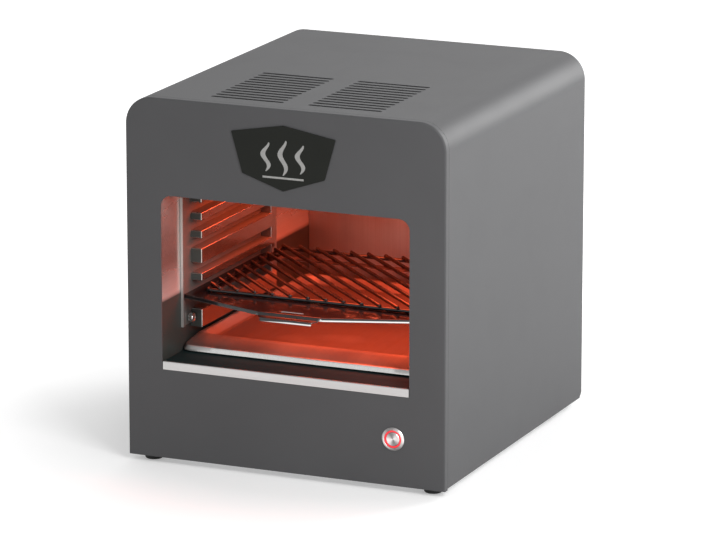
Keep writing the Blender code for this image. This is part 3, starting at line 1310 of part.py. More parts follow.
def build_button_lead():
    tab_end = HOUSING_LENGTH + GAP + CONTACT_LENGTH + CONTACT_TAB_LENGTH + LEAD_END_GAP
    across = BUTTON_ACROSS - CONTACT_TAB_SPREAD
    height = BUTTON_HEIGHT + CONTACT_TAB_SPREAD / 2
    relay_top = BASE_TOP + GAP + RELAY_SIZE[2]
    relay_middle = RELAY_DEPTH + RELAY_SIZE[1] / 2
    route = [(across, tab_end, height), (across, tab_end + LEAD_DROP, height),
             ((across + RELAY_ACROSS) / 2, (tab_end + relay_middle) / 2, relay_top + LEAD_ARCH),
             (RELAY_ACROSS, relay_middle, relay_top + LEAD_DROP),
             (RELAY_ACROSS, relay_middle, relay_top + LEAD_END_GAP)]
    finish(lead_wire("button_lead", route), "silicone_lead")


def hang_on_axis(name, place, *node_names):
    """An empty on the joint's axis carries the pieces that move with it."""
    empty = bpy.data.objects.new(name, None)
    PARTS.objects.link(empty)
    empty.matrix_world = CABINET_PLACE @ Matrix.Translation(place)
    for node_name in node_names:
        item = bpy.data.objects[node_name]
        item.parent = empty
        item.matrix_parent_inverse = empty.matrix_world.inverted()
    return empty


def build_joint_axes():
    hang_on_axis("tray_slide_axis", (0.0, TRAY_FRONT, SILL_TOP + GAP), "drip_tray")
    carrier = hang_on_axis("carrier_slide_axis", (0.0, TAB_FRONT_DEPTH, carrier_level()), "grate_carrier")
    grate_level = carrier_level() + CARRIER_SHEET
    grate = hang_on_axis("grate_lift_axis", (0.0, GRATE_FRONT, grate_level), "grill_grate")
    grate.parent = carrier
    grate.matrix_parent_inverse = carrier.matrix_world.inverted()
    hang_on_axis("button_press_axis", (BUTTON_ACROSS, 0.0, BUTTON_HEIGHT), "button_plunger")
    hang_on_axis("thumbscrew_left_axis", (-GROOVE_BACK, THUMB_DEPTH, THUMB_HEIGHT), "thumbscrew_left")
    hang_on_axis("thumbscrew_right_axis", (GROOVE_BACK, THUMB_DEPTH, THUMB_HEIGHT), "thumbscrew_right")


def build_grill():
    build_front_panel()
    build_outer_cover()
    build_rear_panel()
    build_base_plate()
    build_feet()
    build_screws()
    build_badge()
    build_button()
    build_gland()
    build_chamber_wall("chamber_wall_left", -1)
    build_chamber_wall("chamber_wall_right", 1)
    build_chamber_floor()
    build_chamber_back()
    build_chamber_ceiling()
    build_rack("rack_left", -1)
    build_rack("rack_right", 1)
    build_rack_fasteners()
    build_thumbscrew("thumbscrew_left", -1)
    build_thumbscrew("thumbscrew_right", 1)
    build_carrier()
    build_grate()
    build_tray()
    reflector = build_reflector()
    build_element()
    build_element_supports()
    build_bushes(reflector)
    build_insulation()
    build_heat_shield()
    build_relay()
    build_terminal_block()
    build_cutout()
    build_leads()
    build_joint_axes()


build_grill()
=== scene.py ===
# %% [markdown]
# # An upright electric grill
# The real grill is a folded steel cabinet with an infrared heater under its roof. A welded grate slides
# in pressed racks below the heater, and a pressed tray catches the juices.
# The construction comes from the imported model. This script gives every piece its finer shape and its
# finish: powder coat, polished and brushed steel, enamel, rubber and a glowing heater.

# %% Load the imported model
import json
import math

import bmesh
import bpy
from mathutils import Matrix, Vector

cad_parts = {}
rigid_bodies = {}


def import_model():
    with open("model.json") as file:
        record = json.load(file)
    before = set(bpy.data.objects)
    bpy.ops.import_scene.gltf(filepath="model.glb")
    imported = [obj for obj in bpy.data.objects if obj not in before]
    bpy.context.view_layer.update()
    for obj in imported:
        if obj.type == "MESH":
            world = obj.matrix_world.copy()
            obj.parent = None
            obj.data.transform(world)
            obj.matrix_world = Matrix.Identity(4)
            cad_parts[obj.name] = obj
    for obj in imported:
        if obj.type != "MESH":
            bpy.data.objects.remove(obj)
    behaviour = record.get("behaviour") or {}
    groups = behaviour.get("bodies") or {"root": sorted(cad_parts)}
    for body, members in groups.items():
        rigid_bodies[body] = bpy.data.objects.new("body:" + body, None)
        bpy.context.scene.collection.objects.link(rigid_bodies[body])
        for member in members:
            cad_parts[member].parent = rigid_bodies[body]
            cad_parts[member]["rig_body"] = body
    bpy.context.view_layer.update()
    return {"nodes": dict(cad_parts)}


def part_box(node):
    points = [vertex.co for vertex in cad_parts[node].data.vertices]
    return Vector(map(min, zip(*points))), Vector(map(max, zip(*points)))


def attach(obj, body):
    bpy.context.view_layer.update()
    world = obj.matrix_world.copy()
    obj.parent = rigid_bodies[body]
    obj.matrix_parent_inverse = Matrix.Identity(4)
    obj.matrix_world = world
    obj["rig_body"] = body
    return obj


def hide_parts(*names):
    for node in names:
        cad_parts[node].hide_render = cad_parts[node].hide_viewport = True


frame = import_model()
MM = 0.001

# %% [markdown]
# All sizes below are taken from three directions that a sheet-metal worker would use: across from the
# middle, depth back from the face of the front panel, and height up from the cabinet's lower edge.
# `at` turns such a place into a point of the scene, so that each number can be read off a drawing.

# %% Where the cabinet stands
panel_low, panel_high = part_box("front_panel")
cover_low, cover_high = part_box("outer_cover")
HALF_WIDTH = panel_high.x
CABINET_HEIGHT = panel_high.z - panel_low.z
CABINET_DEPTH = cover_high.y - panel_low.y


def at(across, depth, height):
    return Vector((across, panel_low.y + depth, panel_low.z + height))


def depth_of(point):
    return point.y - panel_low.y


def height_of(point):
    return point.z - panel_low.z


print("cabinet", round(HALF_WIDTH / MM * 2), "wide,", round(CABINET_DEPTH / MM), "deep,",
      round(CABINET_HEIGHT / MM), "high, in millimetres")

# %% [markdown]
# ## Finishes
# A finish is more than a colour. Powder coat has a fine pebbled skin, brushed steel has lines that run
# one way, and steel near a heater turns straw, brown and blue. Each of these effects is used by more
# than one material, so each is built once as a node group, and a material gives it its own numbers.
# The groups only put out colours, masks and heights. The shader itself stays in each material.

# %% Helpers for node trees
def node_group(name, inputs, outputs):
    """A shader node group with named inputs (label, kind, value) and outputs (label, kind)."""
    tree = bpy.data.node_groups.new(name, "ShaderNodeTree")
    for label, kind, value in inputs:
        socket = tree.interface.new_socket(label, in_out="INPUT", socket_type="NodeSocket" + kind)
        socket.default_value = value
    for label, kind in outputs:
        tree.interface.new_socket(label, in_out="OUTPUT", socket_type="NodeSocket" + kind)
    return tree, tree.nodes.new("NodeGroupInput").outputs, tree.nodes.new("NodeGroupOutput").inputs


def add_node(tree, kind, settings=None, **sockets):
    """A node with its settings; each socket gets a value, or a link where another socket is given."""
    node = tree.nodes.new(kind)
    for key, value in (settings or {}).items():
        setattr(node, key, value)
    for key, value in sockets.items():
        by_number = key[0] == "i" and key[1:].isdigit()
        socket = node.inputs[int(key[1:]) if by_number else key.replace("_", " ")]
        if isinstance(value, bpy.types.NodeSocket):
            tree.links.new(value, socket)
        else:
            socket.default_value = value
    return node


def maths(tree, operation, first, second=0.0, clamp=False):
    return add_node(tree, "ShaderNodeMath", {"operation": operation, "use_clamp": clamp},
                    i0=first, i1=second).outputs[0]


def blend_colours(tree, share, first, second, mode="MIX"):
    node = tree.nodes.new("ShaderNodeMix")
    node.data_type = "RGBA"
    node.blend_type = mode
    for index, value in ((0, share), (6, first), (7, second)):
        if isinstance(value, bpy.types.NodeSocket):
            tree.links.new(value, node.inputs[index])
        else:
            node.inputs[index].default_value = value
    return node.outputs[2]


def remap(tree, value, low, high, to_low, to_high):
    return add_node(tree, "ShaderNodeMapRange", {"clamp": True}, Value=value, From_Min=low, From_Max=high,
                    To_Min=to_low, To_Max=to_high).outputs[0]


def object_place(tree, stretch=(1.0, 1.0, 1.0)):
    """Object coordinates, stretched so that a pattern is drawn out along an axis."""
    place = add_node(tree, "ShaderNodeTexCoord").outputs["Object"]
    if stretch == (1.0, 1.0, 1.0):
        return place
    return add_node(tree, "ShaderNodeMapping", Vector=place, Scale=stretch).outputs[0]


print("node helpers ready")

# %% [markdown]
# ### Pebbled skin
# Powder coat, enamel, rubber and moulded plastic all have a skin of soft bumps. Powder melts into an
# orange peel about a millimetre across. Two noises of different size make it: the small one is the
# peel, and a large one gives the patches where the film is a little glossier.

# %% The pebbled skin group
pebbled_skin, given, out = node_group(
    "pebbled_skin",
    [("Grain Size", "Float", 0.001), ("Patch Size", "Float", 0.08)],
    [("Height", "Float"), ("Patches", "Float")])
place = object_place(pebbled_skin)
grain_scale = maths(pebbled_skin, "DIVIDE", 1.0, given["Grain Size"])
patch_scale = maths(pebbled_skin, "DIVIDE", 1.0, given["Patch Size"])
grain = add_node(pebbled_skin, "ShaderNodeTexNoise", Vector=place, Scale=grain_scale, Detail=2.0,
                 Roughness=0.6)
patch = add_node(pebbled_skin, "ShaderNodeTexNoise", Vector=place, Scale=patch_scale, Detail=3.0,
                 Roughness=0.55)
pebbled_skin.links.new(grain.outputs["Fac"], out["Height"])
pebbled_skin.links.new(patch.outputs["Fac"], out["Patches"])
print(pebbled_skin.name, "has", len(pebbled_skin.nodes), "nodes")

# %% [markdown]
# ### Brushed lines
# Brushed or rolled sheet shows long fine scratches in one direction. A noise is squeezed across the
# brushing and drawn out along it. The stretch is an input, because each sheet is brushed along its own
# length. A second, wider noise makes bands, as a worn belt leaves them.

# %% The brushed lines group
brushed_lines, given, out = node_group(
    "brushed_lines",
    [("Stretch", "Vector", (4.0, 4.0, 900.0))],
    [("Lines", "Float"), ("Bands", "Float")])
place = add_node(brushed_lines, "ShaderNodeTexCoord").outputs["Object"]
stretched = add_node(brushed_lines, "ShaderNodeVectorMath", {"operation": "MULTIPLY"}, i0=place,
                     i1=given["Stretch"])
lines = add_node(brushed_lines, "ShaderNodeTexNoise", Vector=stretched.outputs[0], Scale=2.2, Detail=4.0,
                 Roughness=0.65)
wider = add_node(brushed_lines, "ShaderNodeVectorMath", {"operation": "MULTIPLY"}, i0=stretched.outputs[0],
                 i1=(0.12, 0.12, 0.12))
bands = add_node(brushed_lines, "ShaderNodeTexNoise", Vector=wider.outputs[0], Scale=2.0, Detail=2.0)
brushed_lines.links.new(lines.outputs["Fac"], out["Lines"])
brushed_lines.links.new(bands.outputs["Fac"], out["Bands"])
print(brushed_lines.name, "has", len(brushed_lines.nodes), "nodes")

# %% [markdown]
# ### Heat film
# Steel that has been hot keeps a thin oxide film: straw first, then brown, with a darker film of burnt
# fat where it was hottest. The film gets stronger with height, because the heater is at the top. With
# its two heights swapped it serves the tray, where juices burn on at the bottom. A noise keeps its edge
# uneven, and the stretch of the noise makes streaks where fat has run down a wall. Where the film lies
# the surface is less mirror-like. The burnt colour is an input, as each sheet has its own.

# %% The heat film group
heat_film, given, out = node_group(
    "heat_film",
    [("Metal", "Color", (0.6, 0.6, 0.6, 1.0)), ("Cool Height", "Float", 0.12),
     ("Hot Height", "Float", 0.34),
     ("Strength", "Float", 0.8), ("Streaks", "Vector", (14.0, 14.0, 14.0)),
     ("Burnt", "Color", (0.45, 0.30, 0.22, 1.0))],
    [("Colour", "Color"), ("Film", "Float")])
place = object_place(heat_film)
height = add_node(heat_film, "ShaderNodeSeparateXYZ", i0=place).outputs["Z"]
span = maths(heat_film, "SUBTRACT", given["Hot Height"], given["Cool Height"])
level = maths(heat_film, "DIVIDE", maths(heat_film, "SUBTRACT", height, given["Cool Height"]), span)
drawn_out = add_node(heat_film, "ShaderNodeVectorMath", {"operation": "MULTIPLY"}, i0=place,
                     i1=given["Streaks"])
cloud = add_node(heat_film, "ShaderNodeTexNoise", Vector=drawn_out.outputs[0], Scale=1.0, Detail=2.0,
                 Roughness=0.5)
uneven = maths(heat_film, "MULTIPLY", maths(heat_film, "SUBTRACT", cloud.outputs["Fac"], 0.5), 0.9)
heat = maths(heat_film, "ADD", level, uneven, clamp=True)
tint = add_node(heat_film, "ShaderNodeValToRGB", Fac=heat)
ramp = tint.color_ramp
ramp.elements[0].color = (1.0, 1.0, 1.0, 1.0)
ramp.elements[1].color = (0.78, 0.56, 0.42, 1.0)
straw = ramp.elements.new(0.45)
straw.color = (0.98, 0.88, 0.68, 1.0)
film = maths(heat_film, "MULTIPLY", heat, given["Strength"])
hottest = remap(heat_film, heat, 0.35, 1.0, 0.0, 1.0)
film_colour = blend_colours(heat_film, hottest, tint.outputs["Color"], given["Burnt"])
heat_film.links.new(blend_colours(heat_film, film, given["Metal"], film_colour, "MULTIPLY"), out["Colour"])
heat_film.links.new(film, out["Film"])
print(heat_film.name, "has", len(heat_film.nodes), "nodes")

# %% [markdown]
# ### Handling marks
# A used surface carries faint wipe marks and a few fine scratches. The wipes are a stretched noise,
# the scratches are thin lines of a second noise where it crosses its middle value. The group puts out
# one mask, and each material decides how much duller or brighter the marks make it.

# %% The handling marks group
handling_marks, given, out = node_group(
    "handling_marks", [("Size", "Float", 0.05)], [("Wipes", "Float"), ("Scratches", "Float")])
place = object_place(handling_marks)
scale = maths(handling_marks, "DIVIDE", 1.0, given["Size"])
wipe = add_node(handling_marks, "ShaderNodeTexNoise", Vector=place, Scale=scale, Detail=3.0, Distortion=1.6)
wipes = remap(handling_marks, wipe.outputs["Fac"], 0.45, 0.75, 0.0, 1.0)
hair = add_node(handling_marks, "ShaderNodeTexNoise", Vector=place,
                Scale=maths(handling_marks, "MULTIPLY", scale, 1.7),
                Detail=0.0, Distortion=3.0)
near_middle = maths(handling_marks, "ABSOLUTE", maths(handling_marks, "SUBTRACT", hair.outputs["Fac"], 0.5))
scratches = remap(handling_marks, near_middle, 0.0, 0.0025, 1.0, 0.0)
handling_marks.links.new(wipes, out["Wipes"])
handling_marks.links.new(scratches, out["Scratches"])
print(handling_marks.name, "has", len(handling_marks.nodes), "nodes")

# %% [markdown]
# ### Materials
# A helper opens a material and sets the plain numbers on the shader's own sockets. `effect` places a
# node group in it. A bump node turns a height into relief without adding a single face.

# %% Helpers for materials
def new_material(name, colour, roughness, metallic=0.0, **more):
    material = bpy.data.materials.new(name)
    material.use_nodes = True
    shader = material.node_tree.nodes["Principled BSDF"]
    shader.inputs["Base Color"].default_value = (*colour, 1.0)
    shader.inputs["Roughness"].default_value = roughness
    shader.inputs["Metallic"].default_value = metallic
    for label, value in more.items():
        shader.inputs[label.replace("_", " ")].default_value = value
    material.diffuse_color = (*colour, 1.0)
    return material, material.node_tree, shader.inputs


def effect(tree, group, **values):
    node = tree.nodes.new("ShaderNodeGroup")
    node.node_tree = group
    for label, value in values.items():
        socket = node.inputs[label.replace("_", " ")]
        if isinstance(value, bpy.types.NodeSocket):
            tree.links.new(value, socket)
        else:
            socket.default_value = value
    return node.outputs


def relief(tree, sockets, height, strength, distance):
    bump = add_node(tree, "ShaderNodeBump", Height=height)
    bump.inputs["Strength"].default_value = strength
    bump.inputs["Distance"].default_value = distance
    tree.links.new(bump.outputs["Normal"], sockets["Normal"])


print("material helpers ready")

# %% [markdown]
# The cabinet is powder coated in a dark warm grey. The film is even, so the colour hardly changes, and
# it is the roughness that varies: glossier patches, and wipe marks that are a little duller.

# %% Powder coat
powder_coat, tree, sockets = new_material("grey_powder_coat", (0.073, 0.073, 0.076), 0.56,
                                          Specular_IOR_Level=0.36)
skin = effect(tree, pebbled_skin, Grain_Size=0.0009, Patch_Size=0.12)
marks = effect(tree, handling_marks, Size=0.09)
shade = remap(tree, skin["Patches"], 0.3, 0.7, 0.0, 1.0)
tree.links.new(blend_colours(tree, shade, (0.070, 0.070, 0.073, 1.0), (0.077, 0.077, 0.080, 1.0)),
               sockets["Base Color"])
rough = remap(tree, skin["Patches"], 0.3, 0.7, 0.55, 0.57)
tree.links.new(maths(tree, "ADD", rough, maths(tree, "MULTIPLY", marks["Wipes"], 0.02)),
               sockets["Roughness"])
relief(tree, sockets, skin["Height"], 0.35, 0.00006)
print(powder_coat.name)

# %% [markdown]
# The chamber is lined with polished sheet that has taken a heat film. The sill and the ceiling are
# satin, with visible brushing. One function makes all these steels, from the brushing direction, the
# metal's colour and how much film it has.
# A piece can also carry a dark or pale overlay which hides the metal's shine. On the tray, the racks and
# the sill's level floor it is painted light and shade: painted shade and painted reflection, and where it
# is left off, painted highlight. On the side walls it makes them darker below the grate, with a pale band
# above. Its share comes in as a socket, from a height, a depth or an attribute that the piece's own
# faces carry.

# %% Steels
# Colours laid over steel: on the tray, the racks and the sill's floor they are painted shade and painted
# reflection
DARK_GREEN_GREY = (0.046, 0.053, 0.049, 1.0)
PAINTED_DARK_REFLECTION = (0.012, 0.026, 0.027, 1.0)
PALE_PINK_GREY = (0.50, 0.47, 0.46, 1.0)


def steel(name, colour, roughness, stretch, film=0.0, cool=0.12, hot=0.34, streaks=(14.0, 14.0, 14.0),
          burnt=(0.45, 0.30, 0.22, 1.0), film_mask=None, film_dullness=0.12, tone_overlay=None, spread=0.05,
          line_depth=0.000003):
    """Brushed or polished steel; film is the strength of its heat film between two heights."""
    material, tree, sockets = new_material(name, colour, roughness, 1.0)
    brushed = effect(tree, brushed_lines, Stretch=stretch)
    marks = effect(tree, handling_marks, Size=0.06)
    line_shade = remap(tree, brushed["Lines"], 0.3, 0.7, 0.93, 1.05)
    base = add_node(tree, "ShaderNodeVectorMath", {"operation": "SCALE"}, i0=colour)
    tree.links.new(line_shade, base.inputs["Scale"])
    finish, metal = base.outputs[0], 1.0
    rough = remap(tree, brushed["Bands"], 0.3, 0.7, roughness - spread / 2, roughness + spread / 2)
    rough = maths(tree, "ADD", rough, maths(tree, "MULTIPLY", marks["Wipes"], spread))
    if film:
        strength = maths(tree, "MULTIPLY", film_mask(tree), film) if film_mask else film
        heated = effect(tree, heat_film, Metal=finish, Cool_Height=cool, Hot_Height=hot, Strength=strength,
                        Streaks=streaks, Burnt=burnt)
        finish = heated["Colour"]
        rough = maths(tree, "ADD", rough, maths(tree, "MULTIPLY", heated["Film"], film_dullness))
        metal = remap(tree, heated["Film"], 0.0, 1.0, 1.0, 0.88)
    # the overlay is painted light and shade on the tray, the racks and the sill's floor
    if tone_overlay:
        share, tone_overlay_colour = tone_overlay(tree)
        finish = blend_colours(tree, share, finish, tone_overlay_colour)
        rough = maths(tree, "ADD", rough, maths(tree, "MULTIPLY", share, 0.25))
        metal = maths(tree, "SUBTRACT", metal, maths(tree, "MULTIPLY", share, 0.9), clamp=True)
        tree.links.new(remap(tree, share, 0.0, 1.0, 0.5, 0.08), sockets["Specular IOR Level"])
    if metal != 1.0:
        tree.links.new(metal, sockets["Metallic"])
    tree.links.new(finish, sockets["Base Color"])
    tree.links.new(rough, sockets["Roughness"])
    grooves = maths(tree, "SUBTRACT", brushed["Lines"], maths(tree, "MULTIPLY", marks["Scratches"], 0.4))
    relief(tree, sockets, grooves, 0.5, line_depth)
    return material


def place_along(tree, axis):
    return add_node(tree, "ShaderNodeSeparateXYZ", i0=object_place(tree)).outputs[axis]


def dark_low_and_pale_band_on_the_wall(tree):
    """Darker up to the height of the grate, a pale band just above it, and a fainter pale higher up."""
    height = place_along(tree, "Z")
    level = remap(tree, height, at(0, 0, 100 * MM).z, at(0, 0, 300 * MM).z, 0.0, 1.0)
    shares = add_node(tree, "ShaderNodeValToRGB", Fac=level)
    ramp = shares.color_ramp
    ramp.elements[0].color = (1.0, 1.0, 1.0, 1.0)
    ramp.elements[1].color = (0.34, 0.34, 0.34, 1.0)
    for place, share in ((0.41, 1.0), (0.44, 0.62), (0.50, 0.50), (0.62, 0.16), (0.80, 0.20)):
        ramp.elements.new(place).color = (share, share, share, 1.0)
    return shares.outputs["Color"], blend_colours(tree, remap(tree, level, 0.41, 0.44, 0.0, 1.0), DARK_GREEN_GREY,
                                                  PALE_PINK_GREY)


def painted_dark_reflection_behind_the_sill(tree):
    """Painted dark reflection on the level floor; the folded front edge keeps its bare steel."""
    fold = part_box("chamber_floor")[0].y
    # painted dark reflection behind the fold
    return remap(tree, place_along(tree, "Y"), fold + 1.0 * MM, fold + 1.8 * MM, 0.0, 1.0), PAINTED_DARK_REFLECTION


def painted_light_and_shade_on_the_tray(tree):
    """Painted pale reflection on the side walls above the floor and a faint one all over; painted shade on
    the apron behind the rim.
    """
    tray_floor = at(0, 0, 115 * MM).z
    raised = remap(tree, place_along(tree, "Z"), tray_floor + 1.5 * MM, tray_floor + 4.0 * MM, 0.0, 0.50)
    across = maths(tree, "ABSOLUTE", place_along(tree, "X"))
    on_walls = maths(tree, "MULTIPLY", raised, remap(tree, across, 111 * MM, 116 * MM, 0.0, 1.0))
    painted_pale_reflection = maths(tree, "MAXIMUM", on_walls, 0.10)
    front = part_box("drip_tray")[0].y
    behind_rim = remap(tree, place_along(tree, "Y"), front + 2.5 * MM, front + 7 * MM, 0.0, 0.46)
    on_apron = remap(tree, place_along(tree, "Y"), front + 30 * MM, front + 46 * MM, 1.0, 0.0)
    painted_light_and_shade = maths(tree, "MULTIPLY", behind_rim, on_apron)
    colour = blend_colours(tree, remap(tree, painted_light_and_shade, 0.0, 0.2, 0.0, 1.0), PALE_PINK_GREY, DARK_GREEN_GREY)
    return maths(tree, "MAXIMUM", painted_pale_reflection, painted_light_and_shade), colour


def film_behind_the_tray_rim(tree):
    """The front rim of the tray is left bare of film, so that it mirrors bright: a painted highlight line.
    """
    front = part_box("drip_tray")[0].y
    return remap(tree, place_along(tree, "Y"), front + 1.2 * MM, front + 4.0 * MM, 0.0, 1.0)


def painted_light_and_shade_by_attribute(tree):
    """Each face gives its share of painted shade; a share below zero is a pale painted reflection instead.
    """
    share = add_node(tree, "ShaderNodeAttribute", {"attribute_name": "painted_light_and_shade"}).outputs["Fac"]
    painted_pale = maths(tree, "LESS_THAN", share, 0.0)
    return maths(tree, "ABSOLUTE", share), blend_colours(tree, painted_pale, DARK_GREEN_GREY, PALE_PINK_GREY)


STEEL = (0.58, 0.57, 0.55)
BRIGHT_STEEL = (0.66, 0.66, 0.65)
wall_steel = steel("chamber_wall_steel", STEEL, 0.17, (6.0, 6.0, 300.0), 0.3, 0.22, 0.38,
                   tone_overlay=dark_low_and_pale_band_on_the_wall, line_depth=0.000001)
back_steel = steel("chamber_back_steel", (0.46, 0.38, 0.35), 0.36, (500.0, 6.0, 5.0), 1.0, 0.10, 0.30,
                   streaks=(17.0, 10.0, 1.5), burnt=(0.24, 0.075, 0.045, 1.0))
rack_steel = steel("rack_steel", STEEL, 0.18, (5.0, 5.0, 600.0), 0.5, burnt=(0.50, 0.30, 0.22, 1.0),
                   tone_overlay=painted_light_and_shade_by_attribute)
tray_steel = steel("tray_steel", BRIGHT_STEEL, 0.22, (400.0, 5.0, 60.0), 0.9, 0.168, 0.126,
                   streaks=(9.0, 9.0, 9.0), burnt=(0.24, 0.15, 0.12, 1.0),
                   film_mask=film_behind_the_tray_rim, film_dullness=0.26, tone_overlay=painted_light_and_shade_on_the_tray)
sill_steel = steel("sill_steel", (0.50, 0.50, 0.495), 0.30, (5.0, 300.0, 900.0),
                   tone_overlay=painted_dark_reflection_behind_the_sill,
                   line_depth=0.00001)
ceiling_steel = steel("ceiling_steel", STEEL, 0.30, (400.0, 5.0, 60.0), 0.95, 0.20, 0.34)
# near-black shield under the roof slots: painted shade in the slots
shield_steel = steel("shield_steel_painted_shade", (0.060, 0.058, 0.055), 0.52, (60.0, 300.0, 60.0), 0.6, 0.30,
                     0.42)
reflector_steel = steel("reflector_steel", BRIGHT_STEEL, 0.18, (300.0, 5.0, 60.0), 0.6, 0.30, 0.37)
screw_steel = steel("screw_steel", BRIGHT_STEEL, 0.26, (200.0, 200.0, 200.0))
print("steels:", ", ".join(m.name for m in (wall_steel, back_steel, rack_steel, tray_steel, sill_steel)))

# %% [markdown]
# The button is faced on a lathe, and its fine circular grooves are a bump. The bright and dark wedges
# that such grooves make of every reflection are a painted reflection in its colour: the angle round the
# button's centre, put through a sine, lays the painted wedges out.

# %% Faced steel of the button
button_middle = (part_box("button_housing")[0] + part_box("button_housing")[1]) / 2
button_steel, tree, sockets = new_material("button_steel", BRIGHT_STEEL, 0.30, 1.0)
from_middle = add_node(tree, "ShaderNodeVectorMath", {"operation": "SUBTRACT"}, i0=object_place(tree),
                       i1=button_middle)
parts = add_node(tree, "ShaderNodeSeparateXYZ", i0=from_middle.outputs[0]).outputs
angle = maths(tree, "ARCTAN2", parts["Z"], parts["X"])
# painted reflection: bright and dark wedges in the base colour
painted_wedge = maths(tree, "SINE", maths(tree, "ADD", maths(tree, "MULTIPLY", angle, 2.0), 0.9))
skin = effect(tree, pebbled_skin, Grain_Size=0.0005, Patch_Size=0.004)
uneven = maths(tree, "ADD", painted_wedge, remap(tree, skin["Patches"], 0.3, 0.7, -0.25, 0.25))
painted_reflection_share = remap(tree, uneven, -1.0, 1.0, 0.0, 1.0)
tree.links.new(blend_colours(tree, painted_reflection_share, (0.22, 0.21, 0.21, 1.0), (0.78, 0.77, 0.76, 1.0)),
               sockets["Base Color"])
distance = maths(tree, "SQRT", maths(tree, "ADD", maths(tree, "POWER", parts["X"], 2.0),
                                     maths(tree, "POWER", parts["Z"], 2.0)))
tool_marks = maths(tree, "SINE", maths(tree, "MULTIPLY", distance, 16000.0))
relief(tree, sockets, tool_marks, 0.5, 0.000004)
print(button_steel.name)

# %% [markdown]
# Zinc plate is softer than steel to look at. It sets in small crystal patches of different grey, which
# a Voronoi texture gives, with an uneven roughness.

# %% Zinc plate
zinc_plate, tree, sockets = new_material("zinc_plate", (0.56, 0.57, 0.58), 0.4, 1.0)
crystals = add_node(tree, "ShaderNodeTexVoronoi", Vector=object_place(tree), Scale=260.0)
crystal_shade = add_node(tree, "ShaderNodeSeparateColor", i0=crystals.outputs["Color"]).outputs[0]
tree.links.new(blend_colours(tree, crystal_shade, (0.48, 0.49, 0.51, 1.0), (0.62, 0.62, 0.62, 1.0)),
               sockets["Base Color"])
tree.links.new(remap(tree, crystal_shade, 0.0, 1.0, 0.32, 0.48), sockets["Roughness"])
skin = effect(tree, pebbled_skin, Grain_Size=0.0006, Patch_Size=0.03)
relief(tree, sockets, skin["Height"], 0.2, 0.00003)
print(zinc_plate.name)

# %% [markdown]
# The grate and its carrier are black enamelled. Enamel is glass fused on steel: nearly black, glossy,
# with a soft waviness. Burnt-on spots are duller and slightly brown. Where an attribute is set on an
# edge, bare bright steel shows through: a painted highlight line.

# %% Black enamel
black_enamel, tree, sockets = new_material("black_enamel", (0.012, 0.011, 0.011), 0.16, Coat_Weight=0.0)
skin = effect(tree, pebbled_skin, Grain_Size=0.0022, Patch_Size=0.018)
burnt = remap(tree, skin["Patches"], 0.58, 0.74, 0.0, 1.0)
enamel = blend_colours(tree, burnt, (0.009, 0.009, 0.010, 1.0), (0.024, 0.017, 0.013, 1.0))
tree.links.new(remap(tree, burnt, 0.0, 1.0, 0.13, 0.34), sockets["Roughness"])
# bare bright steel where the attribute is set: a painted highlight line
painted_edge_highlight = add_node(tree, "ShaderNodeAttribute", {"attribute_name": "painted_edge_highlight"}).outputs["Fac"]
painted_edge_highlight = remap(tree, painted_edge_highlight, 0.50, 0.62, 0.0, 1.0)
tree.links.new(painted_edge_highlight, sockets["Metallic"])
tree.links.new(blend_colours(tree, painted_edge_highlight, enamel, (0.66, 0.66, 0.65, 1.0)), sockets["Base Color"])
relief(tree, sockets, skin["Height"], 0.3, 0.00004)
print(black_enamel.name)

# %% [markdown]
# The badge plate has a satin black coat with a very fine grain. Its drawing is printed in a light grey
# ink that is slightly raised and matt.

# %% Badge finishes
badge_black, tree, sockets = new_material("badge_black", (0.009, 0.010, 0.008), 0.5,
                                          Specular_IOR_Level=0.16)
skin = effect(tree, pebbled_skin, Grain_Size=0.0004, Patch_Size=0.02)
tree.links.new(remap(tree, skin["Patches"], 0.3, 0.7, 0.46, 0.54), sockets["Roughness"])
tree.links.new(blend_colours(tree, skin["Patches"], (0.008, 0.009, 0.007, 1.0), (0.012, 0.013, 0.011, 1.0)),
               sockets["Base Color"])
relief(tree, sockets, skin["Height"], 0.25, 0.00003)
badge_ink, tree, sockets = new_material("badge_ink", (0.33, 0.33, 0.32), 0.45)
skin = effect(tree, pebbled_skin, Grain_Size=0.0003, Patch_Size=0.006)
tree.links.new(blend_colours(tree, skin["Patches"], (0.27, 0.27, 0.26, 1.0), (0.40, 0.40, 0.39, 1.0)),
               sockets["Base Color"])
relief(tree, sockets, skin["Height"], 0.3, 0.00003)
print(badge_black.name, badge_ink.name)

# %% [markdown]
# Rubber, nylon, ceramic, fibre board and silicone are not metals. They differ in how rough they are and
# how coarse their skin is, so one function serves for all of them. The board under the roof is near-black
# as painted shade, so that the roof slots look dark from above.

# %% Moulded and pressed materials
def moulded(name, dark, light, roughness, grain_size, depth, patch_size=0.02):
    material, tree, sockets = new_material(name, light, roughness)
    skin = effect(tree, pebbled_skin, Grain_Size=grain_size, Patch_Size=patch_size)
    tree.links.new(blend_colours(tree, skin["Patches"], (*dark, 1.0), (*light, 1.0)), sockets["Base Color"])
    tree.links.new(remap(tree, skin["Patches"], 0.3, 0.7, roughness - 0.07, roughness + 0.07),
                   sockets["Roughness"])
    relief(tree, sockets, skin["Height"], 0.5, depth)
    return material


rubber = moulded("black_rubber", (0.012, 0.012, 0.012), (0.022, 0.022, 0.021), 0.72, 0.0008, 0.00012)
nylon = moulded("black_nylon", (0.018, 0.018, 0.019), (0.028, 0.028, 0.029), 0.48, 0.0005, 0.00005)
ceramic = moulded("white_ceramic", (0.70, 0.67, 0.61), (0.82, 0.80, 0.76), 0.5, 0.0007, 0.00005)
